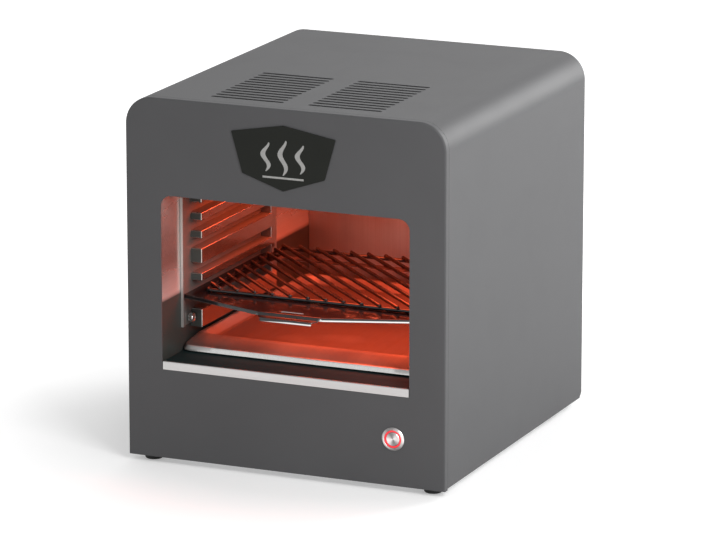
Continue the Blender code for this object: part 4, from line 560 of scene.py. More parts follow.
# near-black board under the roof slots: painted shade in the slots
board_painted_dark = moulded("roof_board_painted_shade", (0.012, 0.012, 0.012), (0.024, 0.024, 0.023), 0.9, 0.0012,
                      0.0001)
fibre_board = moulded("fibre_board", (0.66, 0.62, 0.54), (0.80, 0.77, 0.70), 0.92, 0.0015, 0.0003)
silicone = moulded("red_silicone", (0.42, 0.05, 0.03), (0.55, 0.07, 0.05), 0.55, 0.0009, 0.00004)
print("moulded:", ", ".join(m.name for m in (rubber, nylon, ceramic, board_painted_dark, fibre_board, silicone)))

# %% [markdown]
# Two pieces give light. The heating tube glows orange in its working part and stays dark at its cold
# ends near the back. The lens ring of the button is lit red from behind, a little unevenly, because it
# stands over a few lamps.

# %% Glowing pieces
element_low, element_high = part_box("heating_element")
hot_tube, tree, sockets = new_material("hot_tube", (0.30, 0.09, 0.04), 0.55, Emission_Strength=2.0)
place = object_place(tree)
tube_depth = add_node(tree, "ShaderNodeSeparateXYZ", i0=place).outputs["Y"]
cooling = remap(tree, tube_depth, element_high.y - 55 * MM, element_high.y - 30 * MM, 0.0, 1.0)
scale_marks = effect(tree, pebbled_skin, Grain_Size=0.0012, Patch_Size=0.012)
glow = blend_colours(tree, scale_marks["Patches"], (1.0, 0.11, 0.02, 1.0), (1.0, 0.20, 0.05, 1.0))
tree.links.new(blend_colours(tree, cooling, glow, (0.0, 0.0, 0.0, 1.0)), sockets["Emission Color"])
tree.links.new(blend_colours(tree, cooling, (0.32, 0.10, 0.05, 1.0), (0.10, 0.085, 0.075, 1.0)),
               sockets["Base Color"])
tree.links.new(remap(tree, scale_marks["Patches"], 0.3, 0.7, 0.45, 0.7), sockets["Roughness"])
relief(tree, sockets, scale_marks["Height"], 0.4, 0.00008)

red_lens, tree, sockets = new_material("red_lens", (0.60, 0.02, 0.03), 0.25, Emission_Strength=0.6)
lens_marks = effect(tree, pebbled_skin, Grain_Size=0.004, Patch_Size=0.006)
tree.links.new(blend_colours(tree, lens_marks["Patches"], (0.90, 0.01, 0.03, 1.0), (1.0, 0.06, 0.08, 1.0)),
               sockets["Emission Color"])
tree.links.new(blend_colours(tree, lens_marks["Patches"], (0.50, 0.015, 0.02, 1.0),
                             (0.65, 0.04, 0.05, 1.0)),
               sockets["Base Color"])
relief(tree, sockets, lens_marks["Height"], 0.1, 0.00003)
print(hot_tube.name, red_lens.name)

# %% [markdown]
# ## Shapes
# Folded sheet has a small radius at every bend, and that radius is what catches the light. The helpers
# below draw outlines with round corners, sweep or turn them, and give sheet its thickness.
# A finished piece gets weighted normals: large flat faces stay flat and only the bends are smooth.

# %% Helpers for outlines
def arc(centre, radius, start, end, steps):
    """Points on an arc, with angles in quarter turns."""
    turn = math.pi / 2
    angles = [turn * (start + (end - start) * step / steps) for step in range(steps + 1)]
    return [(centre[0] + radius * math.cos(angle),
             centre[1] + radius * math.sin(angle)) for angle in angles]


def arch(half_width, bottom, top, radius, steps=16):
    """An outline with round upper corners, from the lower right corner over the top to the left."""
    right = arc((half_width - radius, top - radius), radius, 0, 1, steps)
    left = arc((radius - half_width, top - radius), radius, 1, 2, steps)
    return [(half_width, bottom), *right, *left, (-half_width, bottom)]


def rounded(points, radius, steps=4, closed=True):
    """The same outline with its corners rounded; radius is one number, or one for each point."""
    result = []
    count = len(points)
    for index, point in enumerate(points):
        corner = Vector(point)
        size = radius[index] if isinstance(radius, (list, tuple)) else radius
        if size == 0 or (not closed and index in (0, count - 1)):
            result.append(tuple(corner))
            continue
        before = Vector(points[index - 1]) - corner
        after = Vector(points[(index + 1) % count]) - corner
        half_angle = before.angle(after) / 2
        reach = min(size / math.tan(half_angle), before.length * 0.49, after.length * 0.49)
        bisector = (before.normalized() + after.normalized()).normalized()
        centre = corner + bisector * reach / math.cos(half_angle)
        start = corner + before.normalized() * reach - centre
        end = corner + after.normalized() * reach - centre
        total = start.angle(end)
        for step in range(steps + 1):
            part = step / steps
            spoke = (start * math.sin((1 - part) * total) + end * math.sin(part * total)) / math.sin(total)
            result.append(tuple(centre + spoke))
    return result


print("outline helpers ready")

# %% Helpers for solids
def new_piece(name, form):
    """A scene object from a bmesh: doubles merged and faces turned outwards."""
    bmesh.ops.remove_doubles(form, verts=form.verts, dist=0.000005)
    bmesh.ops.recalc_face_normals(form, faces=form.faces)
    mesh = bpy.data.meshes.new(name)
    form.to_mesh(mesh)
    form.free()
    piece = bpy.data.objects.new(name, mesh)
    bpy.context.scene.collection.objects.link(piece)
    return piece


def prism(name, outline, place, span, holes=()):
    """A flat outline given a thickness; place turns (a, b, level) into a point of the scene."""
    form = bmesh.new()
    for loop in (outline, *holes):
        lower = [form.verts.new(place(*point, span[0])) for point in loop]
        upper = [form.verts.new(place(*point, span[1])) for point in loop]
        for index in range(len(loop)):
            after = (index + 1) % len(loop)
            form.faces.new((lower[index], lower[after], upper[after], upper[index]))
    lids = {True: [], False: []}
    for edge in form.edges:
        if len(edge.link_faces) == 1:
            lids[abs(edge_level(edge, place, outline, span)) < 0.5].append(edge)
    for edges in lids.values():
        bmesh.ops.triangle_fill(form, use_beauty=True, use_dissolve=True, edges=edges)
    return new_piece(name, form)


def edge_level(edge, place, outline, span):
    """Which end of the prism an edge belongs to: 0 at the first, 1 at the last."""
    start = place(*outline[0], span[0])
    along = place(*outline[0], span[1]) - start
    return (edge.verts[0].co - start).dot(along) / along.length_squared


def turned(name, profile, centre, axis, steps=64):
    """A turned piece: the profile is (radius, along) pairs, closed or ending on the axis."""
    spin = Vector((0, 0, 1)).rotation_difference(Vector(axis))
    form = bmesh.new()
    rings = []
    for radius, along in profile:
        if radius < 0.000001:
            rings.append([form.verts.new(centre + spin @ Vector((0, 0, along)))] * steps)
            continue
        angles = [math.tau * step / steps for step in range(steps)]
        rings.append([form.verts.new(centre + spin @ Vector((radius * math.cos(a), radius * math.sin(a),
                                                             along)))
                      for a in angles])
    pairs = list(zip(rings, rings[1:]))
    if min(radius for radius, _ in profile) > 0.000001:
        pairs.append((rings[-1], rings[0]))
    for first, second in pairs:
        for index in range(steps):
            after = (index + 1) % steps
            corners = [first[index], first[after], second[after], second[index]]
            unique = list(dict.fromkeys(corners))
            if len(unique) > 2:
                form.faces.new(unique)
    return new_piece(name, form)


def skin_through(name, rows, closed=True, lid=True):
    """A surface through rows of points; closed rows are rings, and a lid fills the first one."""
    form = bmesh.new()
    grid = [[form.verts.new(point) for point in row] for row in rows]
    count = len(grid[0])
    for lower, upper in zip(grid, grid[1:]):
        for index in range(count if closed else count - 1):
            after = (index + 1) % count
            form.faces.new((lower[index], lower[after], upper[after], upper[index]))
    if lid:
        form.faces.new(grid[0])
    return new_piece(name, form)


def thicken(piece, thickness, towards):
    """Give a skin its sheet thickness on the side of a point; the skin keeps its place."""
    widest = max(piece.data.polygons, key=lambda face: face.area)
    if widest.normal.dot(Vector(towards) - widest.center) > 0:
        piece.data.flip_normals()
    wall = piece.modifiers.new("wall", "SOLIDIFY")
    wall.thickness = thickness
    wall.offset = -1.0
    wall.use_even_offset = True
    return piece


print("solid helpers ready")

# %% Helpers for finishing a piece
def plain_mesh(piece):
    """Bake the modifiers of a piece into its mesh."""
    graph = bpy.context.evaluated_depsgraph_get()
    mesh = bpy.data.meshes.new_from_object(piece.evaluated_get(graph))
    piece.modifiers.clear()
    piece.data = mesh
    return piece


def cut_out(piece, *cutters, operation="DIFFERENCE"):
    for cutter in cutters:
        step = piece.modifiers.new("cut", "BOOLEAN")
        step.operation = operation
        step.solver = "EXACT"
        step.object = cutter
        plain_mesh(piece)
        bpy.data.objects.remove(cutter, do_unlink=True)
    return piece


def soften(piece, width, segments=2, angle=40):
    """Round all sharp edges a little."""
    bevel = piece.modifiers.new("soft edges", "BEVEL")
    bevel.width = width
    bevel.segments = segments
    bevel.limit_method = "ANGLE"
    bevel.angle_limit = math.radians(angle)
    bevel.miter_outer = "MITER_ARC"
    bevel.use_clamp_overlap = True
    bevel.harden_normals = False
    return plain_mesh(piece)


def shade(piece, sharp_angle=38):
    """Smooth shading with sharp edges kept, and weighted normals that keep flat faces flat."""
    piece.data.shade_smooth()
    piece.data.set_sharp_from_angle(angle=math.radians(sharp_angle))
    weights = piece.modifiers.new("weighted normals", "WEIGHTED_NORMAL")
    weights.keep_sharp = True
    weights.weight = 60
    return plain_mesh(piece)


def finish_piece(piece, material, slot, *nodes):
    """Give a piece its material, let it move with the body of the nodes that it stands for."""
    shade(piece)
    piece.data.materials.clear()
    piece.data.materials.append(material)
    for face in piece.data.polygons:
        face.material_index = 0
    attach(piece, frame["nodes"][nodes[0]]["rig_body"])
    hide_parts(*nodes)
    return piece


def soft_copy(node, name, width, segments=2, angle=40):
    """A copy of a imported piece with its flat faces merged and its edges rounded."""
    form = bmesh.new()
    form.from_mesh(frame["nodes"][node].data)
    bmesh.ops.remove_doubles(form, verts=form.verts, dist=0.00001)
    bmesh.ops.dissolve_limit(form, angle_limit=math.radians(1.0), verts=form.verts, edges=form.edges)
    return soften(new_piece(name, form), width, segments, angle)


print("finishing helpers ready")

# %% [markdown]
# ### Vent slots
# The roof has two groups of twelve slots for the heater's hot air, and the rear panel has two smaller
# groups. Cutting each by hand would be slow to change. One geometry tree makes them: a row of points,
# a capsule outline on each point, extruded and taken out of the sheet by a Boolean. Its inputs are
# what a punching shop would ask for: count, pitch, length, width and place.

# %% The vent slot tree
def geometry_tree(name, inputs):
    """A geometry node tree with a geometry input and output and the given named inputs."""
    tree = bpy.data.node_groups.new(name, "GeometryNodeTree")
    tree.is_modifier = True
    tree.interface.new_socket("Geometry", in_out="INPUT", socket_type="NodeSocketGeometry")
    for label, kind, value in inputs:
        socket = tree.interface.new_socket(label, in_out="INPUT", socket_type="NodeSocket" + kind)
        if value is not None:
            socket.default_value = value
    tree.interface.new_socket("Geometry", in_out="OUTPUT", socket_type="NodeSocketGeometry")
    return tree, tree.nodes.new("NodeGroupInput").outputs, tree.nodes.new("NodeGroupOutput").inputs


def grow(piece, tree, **values):
    """Run a geometry tree on a piece, with inputs set by their identifiers, and keep the result."""
    identifiers = {item.name: item.identifier for item in tree.interface.items_tree
                   if item.item_type == "SOCKET" and item.in_out == "INPUT"}
    step = piece.modifiers.new(tree.name, "NODES")
    step.node_group = tree
    for label, value in values.items():
        step[identifiers[label.replace("_", " ")]] = value
    return plain_mesh(piece)


vent_slots, given, out = geometry_tree("vent_slots", [
    ("Count", "Int", 12), ("Pitch", "Float", 0.0125), ("Length", "Float", 0.089),
    ("Width", "Float", 0.0045),
    ("Middle", "Float", 0.06), ("First", "Float", 0.034), ("Reach", "Float", 0.01),
    ("Place", "Vector", (0.0, 0.0, 0.0)), ("Turn", "Vector", (0.0, 0.0, 0.0)),
    ("Material", "Material", None)])
outline = add_node(vent_slots, "GeometryNodeCurvePrimitiveQuadrilateral", Width=given["Length"],
                   Height=given["Width"])
radius = maths(vent_slots, "MULTIPLY", given["Width"], 0.499)
slot_outline = add_node(vent_slots, "GeometryNodeFilletCurve", {"mode": "POLY"}, Curve=outline.outputs[0],
                        Count=7, Radius=radius)
lid = add_node(vent_slots, "GeometryNodeFillCurve", {"mode": "NGONS"}, Curve=slot_outline.outputs[0])
raised = add_node(vent_slots, "GeometryNodeExtrudeMesh", {"mode": "FACES"}, Mesh=lid.outputs[0],
                  Offset=(0.0, 0.0, 1.0), Offset_Scale=given["Reach"])
underside = add_node(vent_slots, "GeometryNodeFlipFaces", Mesh=lid.outputs[0])
slot_parts = add_node(vent_slots, "GeometryNodeJoinGeometry")
for part in (underside.outputs[0], raised.outputs[0]):
    vent_slots.links.new(part, slot_parts.inputs[0])
slot_solid = add_node(vent_slots, "GeometryNodeMergeByDistance", Geometry=slot_parts.outputs[0],
                      Distance=0.000005)
rows = add_node(vent_slots, "GeometryNodeJoinGeometry")
for side in (-1.0, 1.0):
    start = add_node(vent_slots, "ShaderNodeCombineXYZ",
                     X=maths(vent_slots, "MULTIPLY", given["Middle"], side),
                     Y=given["First"], Z=maths(vent_slots, "MULTIPLY", given["Reach"], -0.5))
    step = add_node(vent_slots, "ShaderNodeCombineXYZ", Y=given["Pitch"])
    row = add_node(vent_slots, "GeometryNodeMeshLine", Count=given["Count"],
                   Start_Location=start.outputs[0],
                   Offset=step.outputs[0])
    vent_slots.links.new(row.outputs[0], rows.inputs[0])
punches = add_node(vent_slots, "GeometryNodeInstanceOnPoints", Points=rows.outputs[0],
                   Instance=slot_solid.outputs[0])
realized = add_node(vent_slots, "GeometryNodeRealizeInstances", Geometry=punches.outputs[0])
placed = add_node(vent_slots, "GeometryNodeTransform", Geometry=realized.outputs[0],
                  Translation=given["Place"],
                  Rotation=given["Turn"])
punched = add_node(vent_slots, "GeometryNodeMeshBoolean", {"operation": "DIFFERENCE", "solver": "EXACT"})
vent_slots.links.new(given["Geometry"], punched.inputs["Mesh 1"])
vent_slots.links.new(placed.outputs[0], punched.inputs["Mesh 2"])
coated = add_node(vent_slots, "GeometryNodeSetMaterial", Geometry=punched.outputs[0],
                  Material=given["Material"])
vent_slots.links.new(coated.outputs[0], out["Geometry"])
print(vent_slots.name, "has", len(vent_slots.nodes), "nodes")

# %% [markdown]
# ### Outer cover
# One sheet is bent over both sides and the roof. The two bends have a radius of 32 mm. The section is
# swept from the front seam to the back, given its thickness inwards, punched, and its edges are broken
# by a hair, as they are after deburring and coating. The lower rear corners are clipped.

# %% Outer cover
BEND = 32 * MM
COVER_SHEET = 0.8 * MM
COVER_CLIP = 6 * MM
cover_front = depth_of(cover_low)
cover_lift = height_of(cover_low)
section = arch(HALF_WIDTH, cover_lift, CABINET_HEIGHT, BEND, 20)
rows = [[at(across, depth, height) for across, height in section] for depth in (CABINET_DEPTH, cover_front)]
cover = skin_through("cover_sheet", rows, closed=False, lid=False)
thicken(cover, COVER_SHEET, at(0, CABINET_DEPTH / 2, CABINET_HEIGHT / 2))
plain_mesh(cover)
grow(cover, vent_slots, Count=12, Pitch=12.55 * MM, Length=89 * MM, Width=5.6 * MM, Middle=59.5 * MM,
     First=34 * MM, Reach=8 * MM, Place=at(0, 0, CABINET_HEIGHT), Material=powder_coat)
margin = 5 * MM
corner = [(CABINET_DEPTH + margin, cover_lift - margin),
          (CABINET_DEPTH + margin, cover_lift + COVER_CLIP + margin),
          (CABINET_DEPTH - COVER_CLIP - margin, cover_lift - margin)]
cut_out(cover, prism("corner_clip", corner, lambda depth, height, across: at(across, depth, height),
                     (-HALF_WIDTH - margin, HALF_WIDTH + margin)))
soften(cover, 0.35 * MM, 2, 50)
finish_piece(cover, powder_coat, "powder_coat", "outer_cover")
print("cover sheet:", len(cover.data.polygons), "faces")

# %% [markdown]
# ### Front panel
# The front is a shallow pan: its edge rolls back over a 2 mm radius into a flange that meets the cover.
# Rings of the same outline, each a little further in and further forward, make that roll. The cooking
# opening and the hole for the button are then cut, and their edges softened by the coat.

# %% Front panel
PANEL_SHEET = 1.5 * MM
EDGE_ROUND = 2 * MM
OPENING_HALF = 152 * MM
OPENING_BOTTOM = 104.4 * MM
OPENING_TOP = 307.5 * MM
panel_flange = depth_of(panel_high)
rings = []
for inset, depth in arc((EDGE_ROUND, EDGE_ROUND), EDGE_ROUND, 3, 2, 6):
    outline = arch(HALF_WIDTH - inset, inset, CABINET_HEIGHT - inset, BEND - inset, 20)
    rings.append([at(across, depth, height) for across, height in outline])
rings.append([at(point.x, panel_flange, height_of(point)) for point in rings[-1]])
panel = skin_through("front_sheet", rings)
thicken(panel, PANEL_SHEET, at(0, CABINET_DEPTH, CABINET_HEIGHT / 2))
plain_mesh(panel)
button_low, button_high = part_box("button_housing")
button_across = (button_low.x + button_high.x) / 2
button_height = height_of((button_low + button_high) / 2)


def facing_front(across, height, depth):
    return at(across, depth, height)


opening = arch(OPENING_HALF, OPENING_BOTTOM, OPENING_TOP, 13 * MM, 12)
button_hole = arc((button_across, button_height), 12.5 * MM, 0, 4, 48)[:-1]
through = (-3 * MM, 6 * MM)
cut_out(panel, prism("opening_cutter", opening, facing_front, through),
        prism("button_cutter", button_hole, facing_front, through))
soften(panel, 0.3 * MM, 2, 50)
finish_piece(panel, powder_coat, "powder_coat", "front_panel")
print("front sheet:", len(panel.data.polygons), "faces")

# %% [markdown]
# ### Rear panel
# The flat rear panel closes the cabinet. It is punched with the same slot tree, turned upright, and
# screws and the cord gland go through round holes.

# %% Rear panel
rear_low, rear_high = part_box("rear_panel")
rear_front, rear_face = depth_of(rear_low), depth_of(rear_high)
rear_outline = arch(rear_high.x, height_of(rear_low), height_of(rear_high), BEND - 1.5 * MM, 20)
rear_screws = ["rear_screw_lower_left", "rear_screw_upper_left", "rear_screw_lower_right",
               "rear_screw_upper_right"]


def middle_of(node):
    low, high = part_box(node)
    return (low + high) / 2


holes = [arc((middle_of(name).x, height_of(middle_of(name))), 1.9 * MM, 0, 4,
             24)[:-1] for name in rear_screws]
gland_middle = middle_of("cord_gland")
holes.append(arc((gland_middle.x, height_of(gland_middle)), 7 * MM, 0, 4, 40)[:-1])
rear = prism("rear_sheet", rear_outline, facing_front, (rear_front, rear_face), holes)
grow(rear, vent_slots, Count=8, Pitch=11 * MM, Length=90 * MM, Width=4.5 * MM, Middle=75 * MM,
     First=300 * MM, Reach=8 * MM, Place=at(0, rear_face, 0), Turn=(math.pi / 2, 0.0, 0.0),
     Material=powder_coat)
soften(rear, 0.3 * MM, 2, 50)
finish_piece(rear, powder_coat, "powder_coat", "rear_panel")
print("rear sheet:", len(rear.data.polygons), "faces")

# %% [markdown]
# ### Badge plate
# A black six-sided plate is fixed above the opening. It is bare of any name here: three rising heat
# waves stand over a line in its middle. The plate is one prism with soft edges. The print is a set of
# ribbons that stand a few hundredths of a millimetre proud.

# %% Badge plate
badge_low, badge_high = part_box("badge_plate")
badge_half = (badge_high.x - badge_low.x) / 2
badge_bottom = height_of(badge_low)
badge_tall = badge_high.z - badge_low.z
badge_face = depth_of(badge_low)
BADGE_SHARES = ((0.0, 0.0), (0.79, 0.227), (1.0, 0.853), (0.0, 1.0), (-1.0, 0.853), (-0.79, 0.227))
badge_corners = [(across * badge_half, badge_bottom + along * badge_tall) for across, along in BADGE_SHARES]
badge_outline = rounded(badge_corners, 1.2 * MM, 5)
badge = prism("badge_sheet", badge_outline, facing_front, (badge_face, depth_of(badge_high)))
soften(badge, 0.35 * MM, 3, 50)
finish_piece(badge, badge_black, "badge_black", "badge_plate")


def ribbon(form, left, right, depths):
    """A raised band of ink between two lines of points."""
    rows = [[form.verts.new(at(across, depth, height)) for across, height in line]
            for line,
            depth in ((left, depths[1]), (left, depths[0]), (right, depths[0]), (right, depths[1]))]
    for lower, upper in zip(rows, rows[1:] + rows[:1]):
        for index in range(len(left) - 1):
            form.faces.new((lower[index], lower[index + 1], upper[index + 1], upper[index]))
    form.faces.new([row[0] for row in rows])
    form.faces.new([row[-1] for row in rows][::-1])


print("badge", round(badge_half * 2 / MM), "wide and", round(badge_tall / MM), "high")

# %% Badge print
ink = bmesh.new()
ink_depths = (badge_face - 0.06 * MM, badge_face + 0.02 * MM)
WAVE_HEIGHT = 40 * MM
WAVE_SWING = 3.6 * MM
wave_bottom = badge_bottom + 18 * MM
for wave_across, share in ((-21 * MM, 0.82), (0.0, 1.0), (21 * MM, 0.82)):
    left, right = [], []
    for step in range(41):
        part = step / 40
        across = wave_across + WAVE_SWING * math.sin(part * math.tau * 1.25)
        half = (0.5 + 2.6 * math.sin(math.pi * part) ** 0.7) * MM
        height = wave_bottom + WAVE_HEIGHT * (0.5 + (part - 0.5) * share)
        left.append((across - half, height))
        right.append((across + half, height))
    ribbon(ink, left, right, ink_depths)
ribbon(ink, [(-25 * MM, wave_bottom - 4.0 * MM), (25 * MM, wave_bottom - 4.0 * MM)],
       [(-25 * MM, wave_bottom - 1.8 * MM), (25 * MM, wave_bottom - 1.8 * MM)], ink_depths)
badge_print = new_piece("badge_print", ink)
badge_print.data.materials.append(badge_ink)
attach(badge_print, "cabinet")
print("badge print:", len(badge_print.data.polygons), "faces")

# %% [markdown]
# ### Lit push-button
# The switch is a stainless anti-vandal button: a chamfered bezel, a red lens ring and a flat push face.
# All three are turned pieces, so each is drawn as half a section and spun round its axis. Every corner
# of the section is broken, because turned steel shows a bright line there.

# %% Lit push-button
FORWARD = (0, -1, 0)
button_centre = at(button_across, 0, button_height)


def front_of(node):
    return -depth_of(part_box(node)[0])


def across_radius(node):
    low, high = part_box(node)
    return (high.x - low.x) / 2


bezel_front = front_of("button_housing")
bezel_radius = across_radius("button_housing")
ring_radius = across_radius("button_light_ring")
ring_back = -depth_of(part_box("button_light_ring")[1])
plunger_radius = across_radius("button_plunger")
bore = ring_radius + 0.3 * MM
housing_back = -depth_of(button_high)
housing = rounded([(0.0, ring_back - 0.6 * MM), (bore, ring_back - 0.6 * MM), (bore, bezel_front),
                   (bezel_radius - 1.6 * MM, bezel_front), (bezel_radius, bezel_front - 1.1 * MM),
                   (bezel_radius, 0.3 * MM), (12.2 * MM, 0.3 * MM), (12.2 * MM, housing_back),
                   (0.0, housing_back)],
                  [0, 0.1 * MM, 0.25 * MM, 0.4 * MM, 0.3 * MM, 0.15 * MM, 0, 0.3 * MM, 0], 3, closed=False)
finish_piece(turned("button_bezel", housing, button_centre, FORWARD, 72), button_steel, "satin_steel",
             "button_housing")
ring_front = front_of("button_light_ring")
ring_inner = plunger_radius + 0.3 * MM
ring = rounded([(ring_radius, ring_front), (ring_radius, ring_back), (ring_inner, ring_back),
                (ring_inner, ring_front)],
               0.25 * MM, 3)
finish_piece(turned("button_lens", ring, button_centre, FORWARD, 72), red_lens, "red_light",
             "button_light_ring")
plunger_front = front_of("button_plunger")
plunger_back = -depth_of(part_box("button_plunger")[1])
push_face = rounded([(0.0, plunger_front - 0.35 * MM), (plunger_radius * 0.55, plunger_front - 0.25 * MM),
                     (plunger_radius - 0.5 * MM, plunger_front), (plunger_radius, plunger_front - 0.5 * MM),
                     (plunger_radius, plunger_back), (0.0, plunger_back)],
                    [0, 1.0 * MM, 0.3 * MM, 0.2 * MM, 0.1 * MM, 0], 3, closed=False)
finish_piece(turned("button_face", push_face, button_centre, FORWARD, 72), button_steel, "satin_steel",
             "button_plunger")
print("button bezel radius", round(bezel_radius / MM, 1), "mm, standing", round(bezel_front / MM, 1),
      "mm proud")

# %% [markdown]
# ### Feet and cord gland
# The feet are moulded rubber: a cone with a rounded rim and a recess for its screw. The gland in the
# rear panel is a snap-in nylon bush with a stepped collar. Both are turned.

# %% Feet and cord gland
foot_names = ["foot_front_left", "foot_front_right", "foot_rear_left", "foot_rear_right"]
for name in foot_names:
    low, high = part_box(name)
    radius = (high.x - low.x) / 2
    tall = high.z - low.z
    profile = rounded([(radius - 1.0 * MM, tall), (radius, 1.4 * MM), (radius - 1.2 * MM, 0.0),
                       (4.5 * MM, 0.0),
                       (4.5 * MM, 5.5 * MM), (1.9 * MM, 5.5 * MM), (1.9 * MM, tall)],
                      [0.5 * MM, 1.2 * MM, 0.8 * MM, 0.6 * MM, 0.5 * MM, 0, 0], 4)
    centre = Vector(((low.x + high.x) / 2, (low.y + high.y) / 2, low.z))
    finish_piece(turned(name + "_rubber", profile, centre, (0, 0, 1), 56), rubber, "rubber", name)

gland_low, gland_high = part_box("cord_gland")
collar = gland_high.y - rear_high.y
tail = gland_low.y - rear_high.y
gland_profile = rounded([(7.6 * MM, collar), (8.2 * MM, collar * 0.45), (9.5 * MM, collar * 0.4),
                         (9.5 * MM, 0.3 * MM),
                         (6.7 * MM, 0.3 * MM), (6.7 * MM, -1.5 * MM), (8.5 * MM, -1.5 * MM),
                         (6.7 * MM, -4.5 * MM),
                         (6.7 * MM, tail), (4.0 * MM, tail), (4.0 * MM, collar)],
                        [0.6 * MM, 0.3 * MM, 0.4 * MM, 0.2 * MM, 0, 0, 0.2 * MM, 0.2 * MM, 0.3 * MM,
                         0.3 * MM, 0.6 * MM], 3)
gland_centre = Vector((gland_middle.x, rear_high.y, gland_middle.z))
finish_piece(turned("gland_bush", gland_profile, gland_centre, (0, 1, 0), 56), nylon, "nylon", "cord_gland")
print(len(foot_names), "feet and a cord gland")

# %% [markdown]
# ### Chamber lining
# The chamber is lined with bright sheet: two side walls, a back, a ceiling with the heater's window and
# a floor whose front edge is folded down as the sill. The imported walls, back and ceiling are right as
# they are, and only lack the radius of their folds, so each is copied, its flat faces are merged and its
# edges rounded. The floor is drawn anew, with its edges bent down over a round fold.

# %% Chamber lining
for node, name, width, material, slot in (
        ("chamber_wall_left", "left_wall_sheet", 0.45 * MM, wall_steel, "polished_steel"),
        ("chamber_wall_right", "right_wall_sheet", 0.45 * MM, wall_steel, "polished_steel"),
        ("chamber_back", "back_wall_sheet", 0.45 * MM, back_steel, "polished_steel"),
        ("chamber_ceiling", "ceiling_sheet", 0.45 * MM, ceiling_steel, "satin_steel")):
    finish_piece(soft_copy(node, name, width, 3), material, slot, node)
floor_low, floor_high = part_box("chamber_floor")
FOLD = 1.6 * MM
rings = []
for inset, drop in arc((FOLD, FOLD), FOLD, 3, 2, 5):
    rings.append([(corner_x * (floor_high.x - inset),
                   (floor_low.y + inset if corner_y < 0 else floor_high.y - inset),
                   floor_high.z - drop) for corner_x, corner_y in ((-1, -1), (1, -1), (1, 1), (-1, 1))])
rings.append([(point[0], point[1], floor_low.z) for point in rings[-1]])
floor_sheet = skin_through("floor_sheet", rings)
thicken(floor_sheet, 1.0 * MM, (0, (floor_low.y + floor_high.y) / 2, floor_low.z - 1.0))
plain_mesh(floor_sheet)
finish_piece(floor_sheet, sill_steel, "satin_steel", "chamber_floor")
print("chamber lining done")

# %% [markdown]
# ### Racks
# Each rack is pressed from one sheet: six grooves are pushed outwards, and what stays in between shows
# as teeth with round edges. A press can't make a sharp corner, so the edges on the chamber side get a
# larger radius than the cut edges. The edges to round are picked by where they lie. The teeth and the
# groove floors carry painted shade, the front flange a pale painted reflection, and the round edges stay
# bare as painted highlights: each face stores its share in an attribute, and the steel's material reads it.

# %% Racks
def rack_piece(node, name):
    form = bmesh.new()
    form.from_mesh(frame["nodes"][node].data)
    bmesh.ops.remove_doubles(form, verts=form.verts, dist=0.00001)
    bmesh.ops.dissolve_limit(form, angle_limit=math.radians(1.0), verts=form.verts, edges=form.edges)
    inner_face = 137.0 * MM
    tooth_front = at(0, 76 * MM, 0).y

    def on_outer_skin(vert):
        inside = abs(abs(vert.co.x) - inner_face) < 0.05 * MM
        front = abs(vert.co.y - tooth_front) < 0.05 * MM and abs(vert.co.x) < 150.9 * MM
        return inside or front

    # painted shade on the teeth and groove floors, a pale painted reflection (share below zero) on the
    # front flange
    painted_light_and_shade = form.faces.layers.float.new("painted_light_and_shade")
    for face in form.faces:
        face.normal_update()
        middle = face.calc_center_median()
        if face.normal.y < -0.9:
            face[painted_light_and_shade] = 0.92 if middle.y > tooth_front - 0.5 * MM else -0.52
        elif abs(middle.x) > inner_face + 2.5 * MM:
            face[painted_light_and_shade] = 0.80
    pressed = []
    for edge in form.edges:
        if len(edge.link_faces) == 2 and edge.calc_face_angle(0) > math.radians(50):
            if edge.is_convex and all(on_outer_skin(vert) for vert in edge.verts):
                pressed.append(edge)
    rounds = bmesh.ops.bevel(form, geom=pressed, offset=0.9 * MM, segments=4, profile=0.5, affect="EDGES",
                             clamp_overlap=True)["faces"]
    # the round edges stay bare: painted highlight
    for face in rounds:
        face[painted_light_and_shade] = 0.0
    piece = new_piece(name, form)
    soften(piece, 0.2 * MM, 1, 60)
    return finish_piece(piece, rack_steel, "polished_steel", node)


for node, name in (("rack_left", "left_rack_sheet"), ("rack_right", "right_rack_sheet")):
    rack = rack_piece(node, name)
    print(name, len(rack.data.polygons), "faces")

# %% [markdown]
# ### Grate carrier
# The carrier is a laser-cut plate with a folded front edge and a pull tab, enamelled all over. Enamel
# can't hold on a sharp edge, so every edge is rounded by about half a millimetre. Along the lower front
# edges the points of the narrow faces that look forwards and down carry an attribute, which fades out
# upwards over the front face: there bare bright steel shows as a painted highlight line. The tab and the
# right side get the most, as their edge mirrors the bright surroundings; the left arm gets less.

# %% Grate carrier
carrier = soft_copy("grate_carrier", "carrier_plate", 0.6 * MM, 3, 30)
finish_piece(carrier, black_enamel, "black_enamel", "grate_carrier")
# painted highlight along the lower front edges, stronger right of the tab's left end
painted_edge_highlight = carrier.data.attributes.new("painted_edge_highlight", "FLOAT", "POINT")
for face in carrier.data.polygons:
    if face.normal.y < -0.25 and face.normal.z < -0.2:
        for index in face.vertices:
            painted_edge_highlight.data[index].value = 1.0 if carrier.data.vertices[index].co.x > -30 * MM else 0.52
print("carrier:", len(carrier.data.polygons), "faces")

# %% [markdown]
# ### Welded grate
# The grate is a rod bent into a round-cornered frame, with straight rods welded on at 45 degrees. Their
# lengths follow a rule: each is a diagonal line that is clipped by the frame. The tree does what the
# wire shop does: points along a line, one for each rod, the length worked out from the point's number,
# rods turned, ends rounded, and a small weld nugget where a rod crosses the frame.

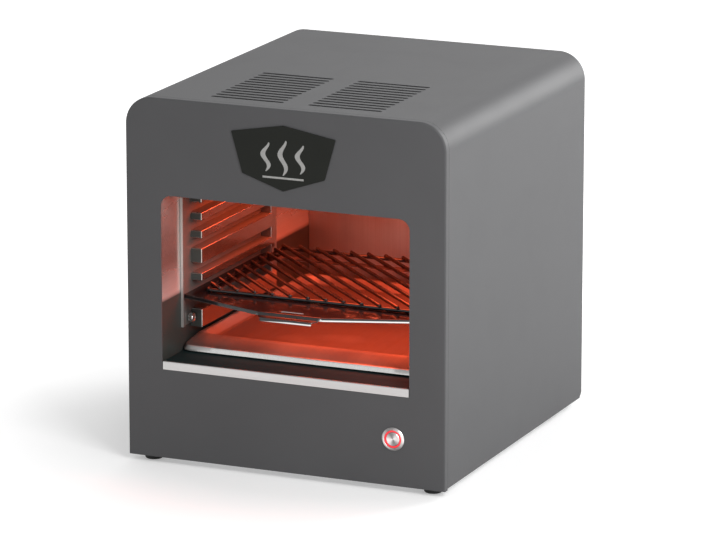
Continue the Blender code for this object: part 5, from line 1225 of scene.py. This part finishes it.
# %% The grate tree
grate_tree, given, out = geometry_tree("welded_grate", [
    ("Half Width", "Float", 0.1295), ("Front", "Float", 0.07), ("Rear", "Float", 0.286),
    ("Corner", "Float", 0.008),
    ("Pitch", "Float", 0.022), ("Rods", "Int", 21), ("First", "Float", 0.0), ("Overhang", "Float", 0.003),
    ("Rod Radius", "Float", 0.0022), ("Bar Level", "Float", 0.0), ("Rod Level", "Float", 0.0),
    ("Material", "Material", None)])


def sum_of(first, second):
    return maths(grate_tree, "ADD", first, second)


def difference(first, second):
    return maths(grate_tree, "SUBTRACT", first, second)


def point_of(x, y, z):
    node = grate_tree.nodes.new("ShaderNodeCombineXYZ")
    for socket, value in zip(node.inputs, (x, y, z)):
        if isinstance(value, bpy.types.NodeSocket):
            grate_tree.links.new(value, socket)
        else:
            socket.default_value = value
    return node.outputs[0]


rod_line = add_node(grate_tree, "GeometryNodeMeshLine", Count=given["Rods"], Offset=(0.0, 0.0, 0.0))
number = add_node(grate_tree, "GeometryNodeInputIndex").outputs[0]
offset = sum_of(given["First"], maths(grate_tree, "MULTIPLY", number, given["Pitch"]))
right_side = given["Half Width"]
left_side = maths(grate_tree, "MULTIPLY", right_side, -1.0)
start_across = maths(grate_tree, "MINIMUM", right_side, difference(offset, given["Front"]))
end_across = maths(grate_tree, "MAXIMUM", left_side, difference(offset, given["Rear"]))
middle_across = maths(grate_tree, "MULTIPLY", sum_of(start_across, end_across), 0.5)
rod_middle = point_of(middle_across, difference(offset, middle_across), given["Rod Level"])
diagonal = maths(grate_tree, "MULTIPLY", difference(start_across, end_across), math.sqrt(2))
rod_length = sum_of(diagonal, maths(grate_tree, "MULTIPLY", given["Overhang"], 2.0))
placed_points = add_node(grate_tree, "GeometryNodeSetPosition", Geometry=rod_line.outputs[0],
                         Position=rod_middle)
unit_rod = add_node(grate_tree, "GeometryNodeCurvePrimitiveLine", Start=(-0.5, 0.0, 0.0),
                    End=(0.5, 0.0, 0.0))
rods = add_node(grate_tree, "GeometryNodeInstanceOnPoints", Points=placed_points.outputs[0],
                Instance=unit_rod.outputs[0], Rotation=(0.0, 0.0, -math.pi / 4),
                Scale=point_of(rod_length, 1.0, 1.0))
rod_curves = add_node(grate_tree, "GeometryNodeRealizeInstances", Geometry=rods.outputs[0])
rod_profile = add_node(grate_tree, "GeometryNodeCurvePrimitiveCircle", Resolution=14,
                       Radius=given["Rod Radius"])
rod_mesh = add_node(grate_tree, "GeometryNodeCurveToMesh", Curve=rod_curves.outputs[0],
                    Profile_Curve=rod_profile.outputs[0], Fill_Caps=True)
end_ball = add_node(grate_tree, "GeometryNodeMeshUVSphere", Segments=14, Rings=8,
                    Radius=given["Rod Radius"])
rod_ends = add_node(grate_tree, "GeometryNodeCurveEndpointSelection")
round_ends = add_node(grate_tree, "GeometryNodeInstanceOnPoints", Points=rod_curves.outputs[0],
                      Selection=rod_ends.outputs[0], Instance=end_ball.outputs[0], Scale=(0.98, 0.98, 0.98))
print("rods laid out at", round(math.degrees(math.pi / 4)), "degrees")

# %% [markdown]
# The frame is a rectangle with filleted corners, swept by the same round profile. The weld nuggets are
# flattened balls at both places where a rod crosses the frame, reached by an unlengthened diagonal.

# %% Frame and weld nuggets of the grate tree
frame_width = maths(grate_tree, "MULTIPLY", given["Half Width"], 2.0)
frame_depth = difference(given["Rear"], given["Front"])
frame_middle = maths(grate_tree, "MULTIPLY", sum_of(given["Rear"], given["Front"]), 0.5)
frame_line = add_node(grate_tree, "GeometryNodeCurvePrimitiveQuadrilateral", Width=frame_width,
                      Height=frame_depth)
frame_curve = add_node(grate_tree, "GeometryNodeFilletCurve", {"mode": "POLY"}, Curve=frame_line.outputs[0],
                       Count=8,
                       Radius=given["Corner"])
frame_placed = add_node(grate_tree, "GeometryNodeTransform", Geometry=frame_curve.outputs[0],
                        Translation=point_of(0.0, frame_middle, given["Bar Level"]))
frame_mesh = add_node(grate_tree, "GeometryNodeCurveToMesh", Curve=frame_placed.outputs[0],
                      Profile_Curve=rod_profile.outputs[0])
weld_lines = add_node(grate_tree, "GeometryNodeInstanceOnPoints", Points=placed_points.outputs[0],
                      Instance=unit_rod.outputs[0], Rotation=(0.0, 0.0, -math.pi / 4),
                      Scale=point_of(diagonal, 1.0, 1.0))
weld_curves = add_node(grate_tree, "GeometryNodeRealizeInstances", Geometry=weld_lines.outputs[0])
weld_ends = add_node(grate_tree, "GeometryNodeCurveEndpointSelection")
weld_level = difference(given["Rod Level"], maths(grate_tree, "MULTIPLY", given["Rod Radius"], 0.85))
sunk = add_node(grate_tree, "GeometryNodeSetPosition", Geometry=weld_curves.outputs[0],
                Offset=point_of(0.0, 0.0, difference(weld_level, given["Rod Level"])))
nugget = add_node(grate_tree, "GeometryNodeMeshUVSphere", Segments=12, Rings=7, Radius=given["Rod Radius"])
nuggets = add_node(grate_tree, "GeometryNodeInstanceOnPoints", Points=sunk.outputs[0],
                   Selection=weld_ends.outputs[0],
                   Instance=nugget.outputs[0], Rotation=(0.0, 0.0, -math.pi / 4), Scale=(1.45, 1.15, 0.6))
welded = add_node(grate_tree, "GeometryNodeJoinGeometry")
for part in (nuggets, round_ends, rod_mesh, frame_mesh):
    grate_tree.links.new(part.outputs[0], welded.inputs[0])
realized = add_node(grate_tree, "GeometryNodeRealizeInstances", Geometry=welded.outputs[0])
enamelled = add_node(grate_tree, "GeometryNodeSetMaterial", Geometry=realized.outputs[0],
                     Material=given["Material"])
grate_tree.links.new(enamelled.outputs[0], out["Geometry"])
print(grate_tree.name, "has", len(grate_tree.nodes), "nodes")

# %% Welded grate
grate_low, grate_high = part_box("grill_grate")
ROD_RADIUS = 2.2 * MM
bar_level = grate_low.z + ROD_RADIUS
rod_level = grate_high.z - ROD_RADIUS
grate_half = 129.5 * MM
grate_front, grate_rear = at(0, 70 * MM, 0).y, at(0, 286 * MM, 0).y
PITCH = 22 * MM
first_diagonal = grate_front - grate_half
last_diagonal = grate_rear + grate_half
rod_count = int((last_diagonal - first_diagonal) / PITCH)
edge_gap = ((last_diagonal - first_diagonal) - PITCH * (rod_count - 1)) / 2
grate = new_piece("grate_rods", bmesh.new())
grow(grate, grate_tree, Half_Width=grate_half, Front=grate_front, Rear=grate_rear, Corner=8 * MM,
     Pitch=PITCH,
     Rods=rod_count, First=first_diagonal + edge_gap, Overhang=3 * MM - ROD_RADIUS, Rod_Radius=ROD_RADIUS,
     Bar_Level=bar_level, Rod_Level=rod_level, Material=black_enamel)
finish_piece(grate, black_enamel, "black_enamel", "grill_grate")
print("grate:", rod_count, "rods,", len(grate.data.polygons), "faces")

# %% [markdown]
# ### Drip tray
# The tray is deep drawn from one sheet. Its basin has sloping walls with a soft radius at the floor,
# its front slopes down as an apron, and its rim is rolled over. Rings of points follow the section from
# the floor up the wall, over the rim and down the rolled lip. The front of each ring sinks with the
# apron. The lip leans outwards by about two millimetres, so that it catches the light from above.

# %% Drip tray
tray_low, tray_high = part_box("drip_tray")
tray_bottom = 114.8 * MM
TRAY_SHEET = 0.8 * MM
tray_rim = tray_bottom + 12.7 * MM - TRAY_SHEET
tray_outer = tray_high.x - TRAY_SHEET
tray_front, tray_rear = depth_of(tray_low), depth_of(tray_high)
basin = tray_outer - 5.5 * MM
knee = tray_front + 40 * MM
APRON_DROP = 5.5 * MM
LIP_SLANT = 1.9 * MM


def tray_ring(half, front, rear, radius, height, steps=9):
    """A ring of the tray, with extra points along its sides where the apron begins."""
    ring = arc((half - radius, rear - radius), radius, 0, 1, steps)
    ring += arc((radius - half, rear - radius), radius, 1, 2, steps)
    ring += [(-half, max(knee, front + radius + 0.1 * MM))]
    ring += arc((radius - half, front + radius), radius, 2, 3, steps)
    ring += arc((half - radius, front + radius), radius, 3, 4, steps)
    ring += [(half, max(knee, front + radius + 0.1 * MM))]
    return [at(across, depth, height - APRON_DROP * max(0.0, knee - depth) / (40 * MM)) for across,
            depth in ring]


wall = rounded([(basin - 14 * MM, tray_bottom), (basin - 6 * MM, tray_bottom), (basin, tray_rim),
                (tray_outer - LIP_SLANT, tray_rim), (tray_outer, tray_rim - 5.2 * MM)],
               [0, 3.2 * MM, 1.6 * MM, 1.6 * MM, 0], 6, closed=False)
rings = []
for half, height in wall:
    inset = basin - half
    if inset >= 0:
        front, rear, radius = knee + inset, tray_rear - 5.5 * MM - inset, 19 * MM - min(inset, 8 * MM)
    else:
        share = min(1.0, -inset / (tray_outer - LIP_SLANT - basin))
        lip = max(0.0, half - (tray_outer - LIP_SLANT))
        front = knee + (tray_front + TRAY_SHEET + LIP_SLANT - knee) * share - lip
        rear = tray_rear - 5.5 * MM - inset - TRAY_SHEET * share
        radius = 19 * MM - 9 * MM * share
    rings.append(tray_ring(half, front, rear, radius, height))
tray = skin_through("tray_sheet", rings)
thicken(tray, TRAY_SHEET, at(0, tray_rear / 2, -CABINET_HEIGHT))
tray.modifiers["wall"].offset = 1.0
plain_mesh(tray)
finish_piece(tray, tray_steel, "polished_steel", "drip_tray")
print("tray:", len(tray.data.polygons), "faces")

# %% [markdown]
# ### Thumbscrews
# A knurled hand screw locks each rack. The head is turned, and the knurl is a ring of small ribs, made
# by a tree that sets one rib on each point of a circle. The count and the rib's size are inputs.

# %% The knurl tree
knurl, given, out = geometry_tree("knurled_ring", [
    ("Ribs", "Int", 36), ("Radius", "Float", 0.005), ("Rib Length", "Float", 0.004),
    ("Rib Width", "Float", 0.0007),
    ("Place", "Vector", (0.0, 0.0, 0.0)), ("Turn", "Vector", (0.0, 0.0, 0.0)),
    ("Material", "Material", None)])
rim = add_node(knurl, "GeometryNodeMeshCircle", Vertices=given["Ribs"], Radius=given["Radius"])
rib_size = add_node(knurl, "ShaderNodeCombineXYZ", X=given["Rib Width"], Y=given["Rib Width"],
                    Z=given["Rib Length"])
rib = add_node(knurl, "GeometryNodeMeshCube", Size=rib_size.outputs[0])
number = add_node(knurl, "GeometryNodeInputIndex").outputs[0]
angle = maths(knurl, "DIVIDE", maths(knurl, "MULTIPLY", number, math.tau), given["Ribs"])
diamond = add_node(knurl, "ShaderNodeCombineXYZ", Z=maths(knurl, "ADD", angle, math.pi / 4))
ribs = add_node(knurl, "GeometryNodeInstanceOnPoints", Points=rim.outputs[0], Instance=rib.outputs[0],
                Rotation=diamond.outputs[0])
ribs_placed = add_node(knurl, "GeometryNodeTransform", Geometry=ribs.outputs[0], Rotation=given["Turn"],
                       Translation=given["Place"])
knurled = add_node(knurl, "GeometryNodeJoinGeometry")
for part in (ribs_placed.outputs[0], given["Geometry"]):
    knurl.links.new(part, knurled.inputs[0])
realized = add_node(knurl, "GeometryNodeRealizeInstances", Geometry=knurled.outputs[0])
plated = add_node(knurl, "GeometryNodeSetMaterial", Geometry=realized.outputs[0],
                  Material=given["Material"])
knurl.links.new(plated.outputs[0], out["Geometry"])
print(knurl.name, "has", len(knurl.nodes), "nodes")

# %% Thumbscrews
for node, side in (("thumbscrew_left", -1), ("thumbscrew_right", 1)):
    low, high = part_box(node)
    middle = (low + high) / 2
    tip = low.x if side < 0 else high.x
    head = high.x if side < 0 else low.x
    radius = (high.y - low.y) / 2
    length = abs(tip - head)
    profile = rounded([(0.0, 0.6 * MM), (2.6 * MM, 0.6 * MM), (3.2 * MM, 0.0), (radius - 1.0 * MM, 0.0),
                       (radius - 0.35 * MM, 0.8 * MM), (radius - 0.35 * MM, 6.2 * MM),
                       (radius - 1.2 * MM, 7.0 * MM),
                       (2.0 * MM, 7.0 * MM), (2.0 * MM, length), (0.0, length)],
                      [0, 0.3 * MM, 0.2 * MM, 0.4 * MM, 0.3 * MM, 0.3 * MM, 0.3 * MM, 0, 0.3 * MM, 0], 3,
                      closed=False)
    screw = turned(node + "_turned", profile, Vector((head, middle.y, middle.z)), (side, 0, 0), 48)
    grow(screw, knurl, Ribs=36, Radius=radius - 0.55 * MM, Rib_Length=4.6 * MM, Rib_Width=0.75 * MM,
         Place=(head + side * 3.5 * MM, middle.y, middle.z), Turn=(0.0, math.pi / 2, 0.0),
         Material=screw_steel)
    finish_piece(screw, screw_steel, "satin_steel", node)
print("two knurled thumbscrews")

# %% [markdown]
# ### Screws
# The screws are all alike: a domed head with a cross recess. One screw is made carefully, then a tree
# sets a copy on each seat and turns it to face outwards. The seats are points that carry their own
# direction as an attribute, so the same tree serves the rear panel, the feet and the chamber.

# %% One screw
def cross_head_screw(name, head_radius, head_height, shank_radius, length):
    profile = [(0.0, head_height)]
    for step in range(1, 8):
        angle = math.pi / 2 * step / 7
        profile.append((head_radius * math.sin(angle), head_height * (0.35 + 0.65 * math.cos(angle))))
    profile += [(head_radius, 0.0), (shank_radius, 0.0), (shank_radius, -length + shank_radius),
                (0.0, -length)]
    screw = turned(name, profile, Vector(), (0, 0, 1), 32)
    for across, along in ((0.16, 0.62), (0.62, 0.16)):
        half = (head_radius * across, head_radius * along)
        recess = prism("recess",
                       [(-half[0], -half[1]), (half[0], -half[1]), (half[0], half[1]), (-half[0], half[1])],
                       lambda x, y, z: Vector((x, y, z)), (head_height * 0.35, head_height * 2))
        cut_out(screw, recess)
    return shade(screw)


set_screws, given, out = geometry_tree("set_screws",
                                       [("Screw", "Object", None), ("Material", "Material", None)])
one_screw = add_node(set_screws, "GeometryNodeObjectInfo", {"transform_space": "ORIGINAL"},
                     Object=given["Screw"])
facing = add_node(set_screws, "GeometryNodeInputNamedAttribute", {"data_type": "FLOAT_VECTOR"},
                  Name="facing")
turn = add_node(set_screws, "FunctionNodeAlignRotationToVector", {"axis": "Z"}, Vector=facing.outputs[0])
copies = add_node(set_screws, "GeometryNodeInstanceOnPoints", Points=given["Geometry"],
                  Instance=one_screw.outputs["Geometry"], Rotation=turn.outputs[0])
realized = add_node(set_screws, "GeometryNodeRealizeInstances", Geometry=copies.outputs[0])
plated = add_node(set_screws, "GeometryNodeSetMaterial", Geometry=realized.outputs[0],
                  Material=given["Material"])
set_screws.links.new(plated.outputs[0], out["Geometry"])
print(set_screws.name, "has", len(set_screws.nodes), "nodes")


# %% Screws on their seats
def screws_on(name, screw, head_height, nodes, direction, material, slot):
    """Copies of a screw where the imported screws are, all facing one way."""
    facing = Vector(direction)
    seats = []
    for node in nodes:
        low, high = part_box(node)
        middle = (low + high) / 2
        reach = [(high[axis] if direction[axis] > 0 else low[axis]) if direction[axis] else middle[axis]
                 for axis in range(3)]
        seats.append(Vector(reach) - facing * head_height)
    mesh = bpy.data.meshes.new(name)
    mesh.from_pydata(seats, [], [])
    mesh.attributes.new("facing", "FLOAT_VECTOR", "POINT")
    for item in mesh.attributes["facing"].data:
        item.vector = facing
    piece = bpy.data.objects.new(name, mesh)
    bpy.context.scene.collection.objects.link(piece)
    grow(piece, set_screws, Screw=screw, Material=material)
    return finish_piece(piece, material, slot, *nodes)


plain_screw = cross_head_screw("plain_screw", 3.4 * MM, 1.6 * MM, 1.6 * MM, 7 * MM)
small_screw = cross_head_screw("small_screw", 2.8 * MM, 1.3 * MM, 1.6 * MM, 7 * MM)
screws_on("rear_screws", plain_screw, 1.6 * MM, rear_screws, (0, 1, 0), zinc_plate, "zinc_plate")
screws_on("foot_screws", plain_screw, 1.6 * MM,
          [name.replace("foot_", "foot_screw_") for name in foot_names],
          (0, 0, -1), zinc_plate, "zinc_plate")
screws_on("chamber_screws", small_screw, 1.3 * MM, ["chamber_screw_left", "chamber_screw_right"],
          (0, -1, 0),
          screw_steel, "satin_steel")
for screw in (plain_screw, small_screw):
    bpy.data.objects.remove(screw, do_unlink=True)
print("screws set on their seats")

# %% [markdown]
# ### Heating tube
# The heater is one long tube bent into eight runs. A curve through the middle of the tube is drawn with
# straight runs and half-round bends, and a round bevel gives it its thickness. The two thinner terminal
# pins go on from its ends.

# %% Heating tube
TUBE_RADIUS = (element_high.z - element_low.z) / 2
tube_level = (element_high.z + element_low.z) / 2
RUN_PITCH = 28 * MM
RUNS = 8
first_run = -RUN_PITCH * (RUNS - 1) / 2
bend_front, bend_rear = at(0, 92 * MM, 0).y, at(0, 308 * MM, 0).y
cold_end = at(0, 356 * MM, 0).y
line = [(first_run, cold_end)]
for run in range(RUNS - 1):
    centre = (first_run + RUN_PITCH * (run + 0.5), bend_front if run % 2 == 0 else bend_rear)
    line += arc(centre, RUN_PITCH / 2, 2, 4, 14) if run % 2 == 0 else arc(centre, RUN_PITCH / 2, 2, 0, 14)
line.append((-first_run, cold_end))


def tube(name, points, radius, sides=4):
    curve = bpy.data.curves.new(name, "CURVE")
    curve.dimensions = "3D"
    curve.bevel_depth = radius
    curve.bevel_resolution = sides
    curve.use_fill_caps = True
    spline = curve.splines.new("POLY")
    spline.points.add(len(points) - 1)
    for spot, point in zip(spline.points, points):
        spot.co = (*point, 1.0)
    drawn = bpy.data.objects.new(name, curve)
    bpy.context.scene.collection.objects.link(drawn)
    graph = bpy.context.evaluated_depsgraph_get()
    form = bmesh.new()
    form.from_mesh(bpy.data.meshes.new_from_object(drawn.evaluated_get(graph)))
    bpy.data.objects.remove(drawn, do_unlink=True)
    return new_piece(name, form)


heater = tube("heating_tube", [(x, y, tube_level) for x, y in line], TUBE_RADIUS)
for side in (-1, 1):
    pin = tube("pin", [(side * first_run, cold_end - 8 * MM, tube_level),
                       (side * first_run, element_high.y, tube_level)],
               1.5 * MM)
    cut_out(heater, pin, operation="UNION")
finish_piece(heater, hot_tube, "hot_element", "heating_element")
print("heating tube:", len(heater.data.polygons), "faces")

# %% [markdown]
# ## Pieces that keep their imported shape
# Most inner pieces are hidden or are plain already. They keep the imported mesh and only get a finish.
# The dictionary says which finish each one has, as a parts list would.

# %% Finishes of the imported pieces
finishes = {
    zinc_plate: ["base_plate", "button_nut", "rack_nut_left", "rack_nut_right"],
    shield_steel: ["heat_shield"],
    rack_steel: ["rack_stud_left", "rack_stud_right"],
    reflector_steel: ["heat_reflector", "element_support_front", "element_support_rear"],
    ceramic: ["terminal_bush_left", "terminal_bush_right"],
    board_painted_dark: ["insulation_top"],
    fibre_board: ["insulation_left", "insulation_right", "insulation_back"],
    nylon: ["button_contacts", "power_relay", "terminal_block", "thermal_cutout"],
    silicone: ["heater_lead_left", "heater_lead_right", "button_lead"],
}
for material, names in finishes.items():
    for name in names:
        node = frame["nodes"][name]
        node.data.materials.clear()
        node.data.materials.append(material)
print(sum(len(names) for names in finishes.values()), "packed pieces have their finish")

# %% [markdown]
# ## Stage and light
# The grill stands on a plain white floor under soft light. The world is white to the camera and in
# reflections, but lights the scene only gently, so that steel has something bright to mirror and the
# colours stay as they are written. The floor is lifted to white for the camera. The lift is weaker near
# the cabinet, which paints shade round its feet on top of its soft shadow.

# %% Floor and world
form = bmesh.new()
bmesh.ops.create_grid(form, x_segments=8, y_segments=8, size=9.0)
studio_floor = new_piece("studio_floor", form)
floor_paint, tree, sockets = new_material("floor_paint", (0.80, 0.80, 0.80), 0.6, Specular_IOR_Level=0.2)
rays = tree.nodes.new("ShaderNodeLightPath").outputs
seen = maths(tree, "MAXIMUM", rays["Is Camera Ray"], rays["Is Glossy Ray"])
away = add_node(tree, "ShaderNodeVectorMath", {"operation": "LENGTH"},
                i0=object_place(tree)).outputs["Value"]
# weaker lift near the cabinet: painted shade round its feet
lift = blend_colours(tree, remap(tree, away, 0.27, 0.60, 0.0, 1.0), (0.31, 0.31, 0.31, 1.0),
                     (0.72, 0.72, 0.72, 1.0))
lift = blend_colours(tree, seen, (0.0, 0.0, 0.0, 1.0), lift)
tree.links.new(lift, sockets["Emission Color"])
sockets["Emission Strength"].default_value = 1.0
texture = effect(tree, pebbled_skin, Grain_Size=0.004, Patch_Size=0.6)
tree.links.new(remap(tree, texture["Patches"], 0.3, 0.7, 0.55, 0.65), sockets["Roughness"])
studio_floor.data.materials.append(floor_paint)

world = bpy.data.worlds.new("studio")
bpy.context.scene.world = world
world.use_nodes = True
tree = world.node_tree
background = tree.nodes["Background"]
rays = tree.nodes.new("ShaderNodeLightPath").outputs
seen = maths(tree, "MAXIMUM", rays["Is Camera Ray"], rays["Is Glossy Ray"])
seen = maths(tree, "MAXIMUM", seen, rays["Is Transmission Ray"])
background.inputs["Color"].default_value = (1.0, 1.0, 1.0, 1.0)
tree.links.new(remap(tree, seen, 0.0, 1.0, 0.42, 1.0), background.inputs["Strength"])
print("floor and world ready")

# %% [markdown]
# Three softboxes give the cabinet its tones. One stands low behind and to the right: the side is
# brightest at its upper edge, nearest to it. One stands close at the front right, so the front gets
# darker to the left. A weak one behind lights the roof towards the rear. A small warm lamp in the
# heater's window is the glow of the heating tube on the chamber walls.

# %% Lamps
def softbox(name, place, towards, size, power, colour=(1.0, 1.0, 1.0)):
    light = bpy.data.lights.new(name, "AREA")
    light.shape = "RECTANGLE"
    light.size, light.size_y = size
    light.energy = power
    light.color = colour
    lamp = bpy.data.objects.new(name, light)
    bpy.context.scene.collection.objects.link(lamp)
    lamp.location = place
    lamp.rotation_euler = (Vector(towards) - Vector(place)).to_track_quat("-Z", "Y").to_euler()
    lamp.visible_camera = False
    return lamp


softbox("right_softbox", (0.9, 1.4, 0.7), (0.1, 0.0, 0.25), (0.8, 0.8), 18.0)
softbox("front_softbox", (1.1, -1.0, 0.9), (0.0, 0.0, 0.25), (0.7, 0.7), 15.0)
softbox("rear_softbox", (-0.2, 1.6, 1.6), (0.0, 0.0, 0.3), (1.2, 1.2), 5.0)
glow_place = Vector((0.0, (bend_front + bend_rear) / 2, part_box("chamber_ceiling")[0].z - 1.5 * MM))
softbox("heater_glow", glow_place, glow_place + Vector((0, 0, -1)), (0.20, 0.22), 1.8, (1.0, 0.10, 0.035))
print("lamps set")

# %% [markdown]
# The photograph was taken from the right and a little above, from about five metres with a long lens.
# The camera's place and direction were worked out from the cabinet's edges in it.

# %% Camera
YAW, PITCH_DOWN = math.radians(23.432), math.radians(14.070)
camera_data = bpy.data.cameras.new("camera")
camera_data.sensor_width = 36.0
camera_data.lens = 245.74
camera_data.clip_end = 100.0
camera = bpy.data.objects.new("camera", camera_data)
bpy.context.scene.collection.objects.link(camera)
forward = Vector((-math.sin(YAW) * math.cos(PITCH_DOWN), math.cos(YAW) * math.cos(PITCH_DOWN),
                  -math.sin(PITCH_DOWN)))
right = Vector((math.cos(YAW), math.sin(YAW), 0.0))
upward = right.cross(forward)
turn = Matrix((right, upward, -forward)).transposed().to_4x4()
camera.matrix_world = Matrix.Translation(at(2.17976, -4.82159, 1.56189)) @ turn
bpy.context.scene.camera = camera
bpy.context.scene.view_settings.view_transform = "Standard"
print("camera", round((camera.location - at(0, 0, 0)).length, 2), "m away")
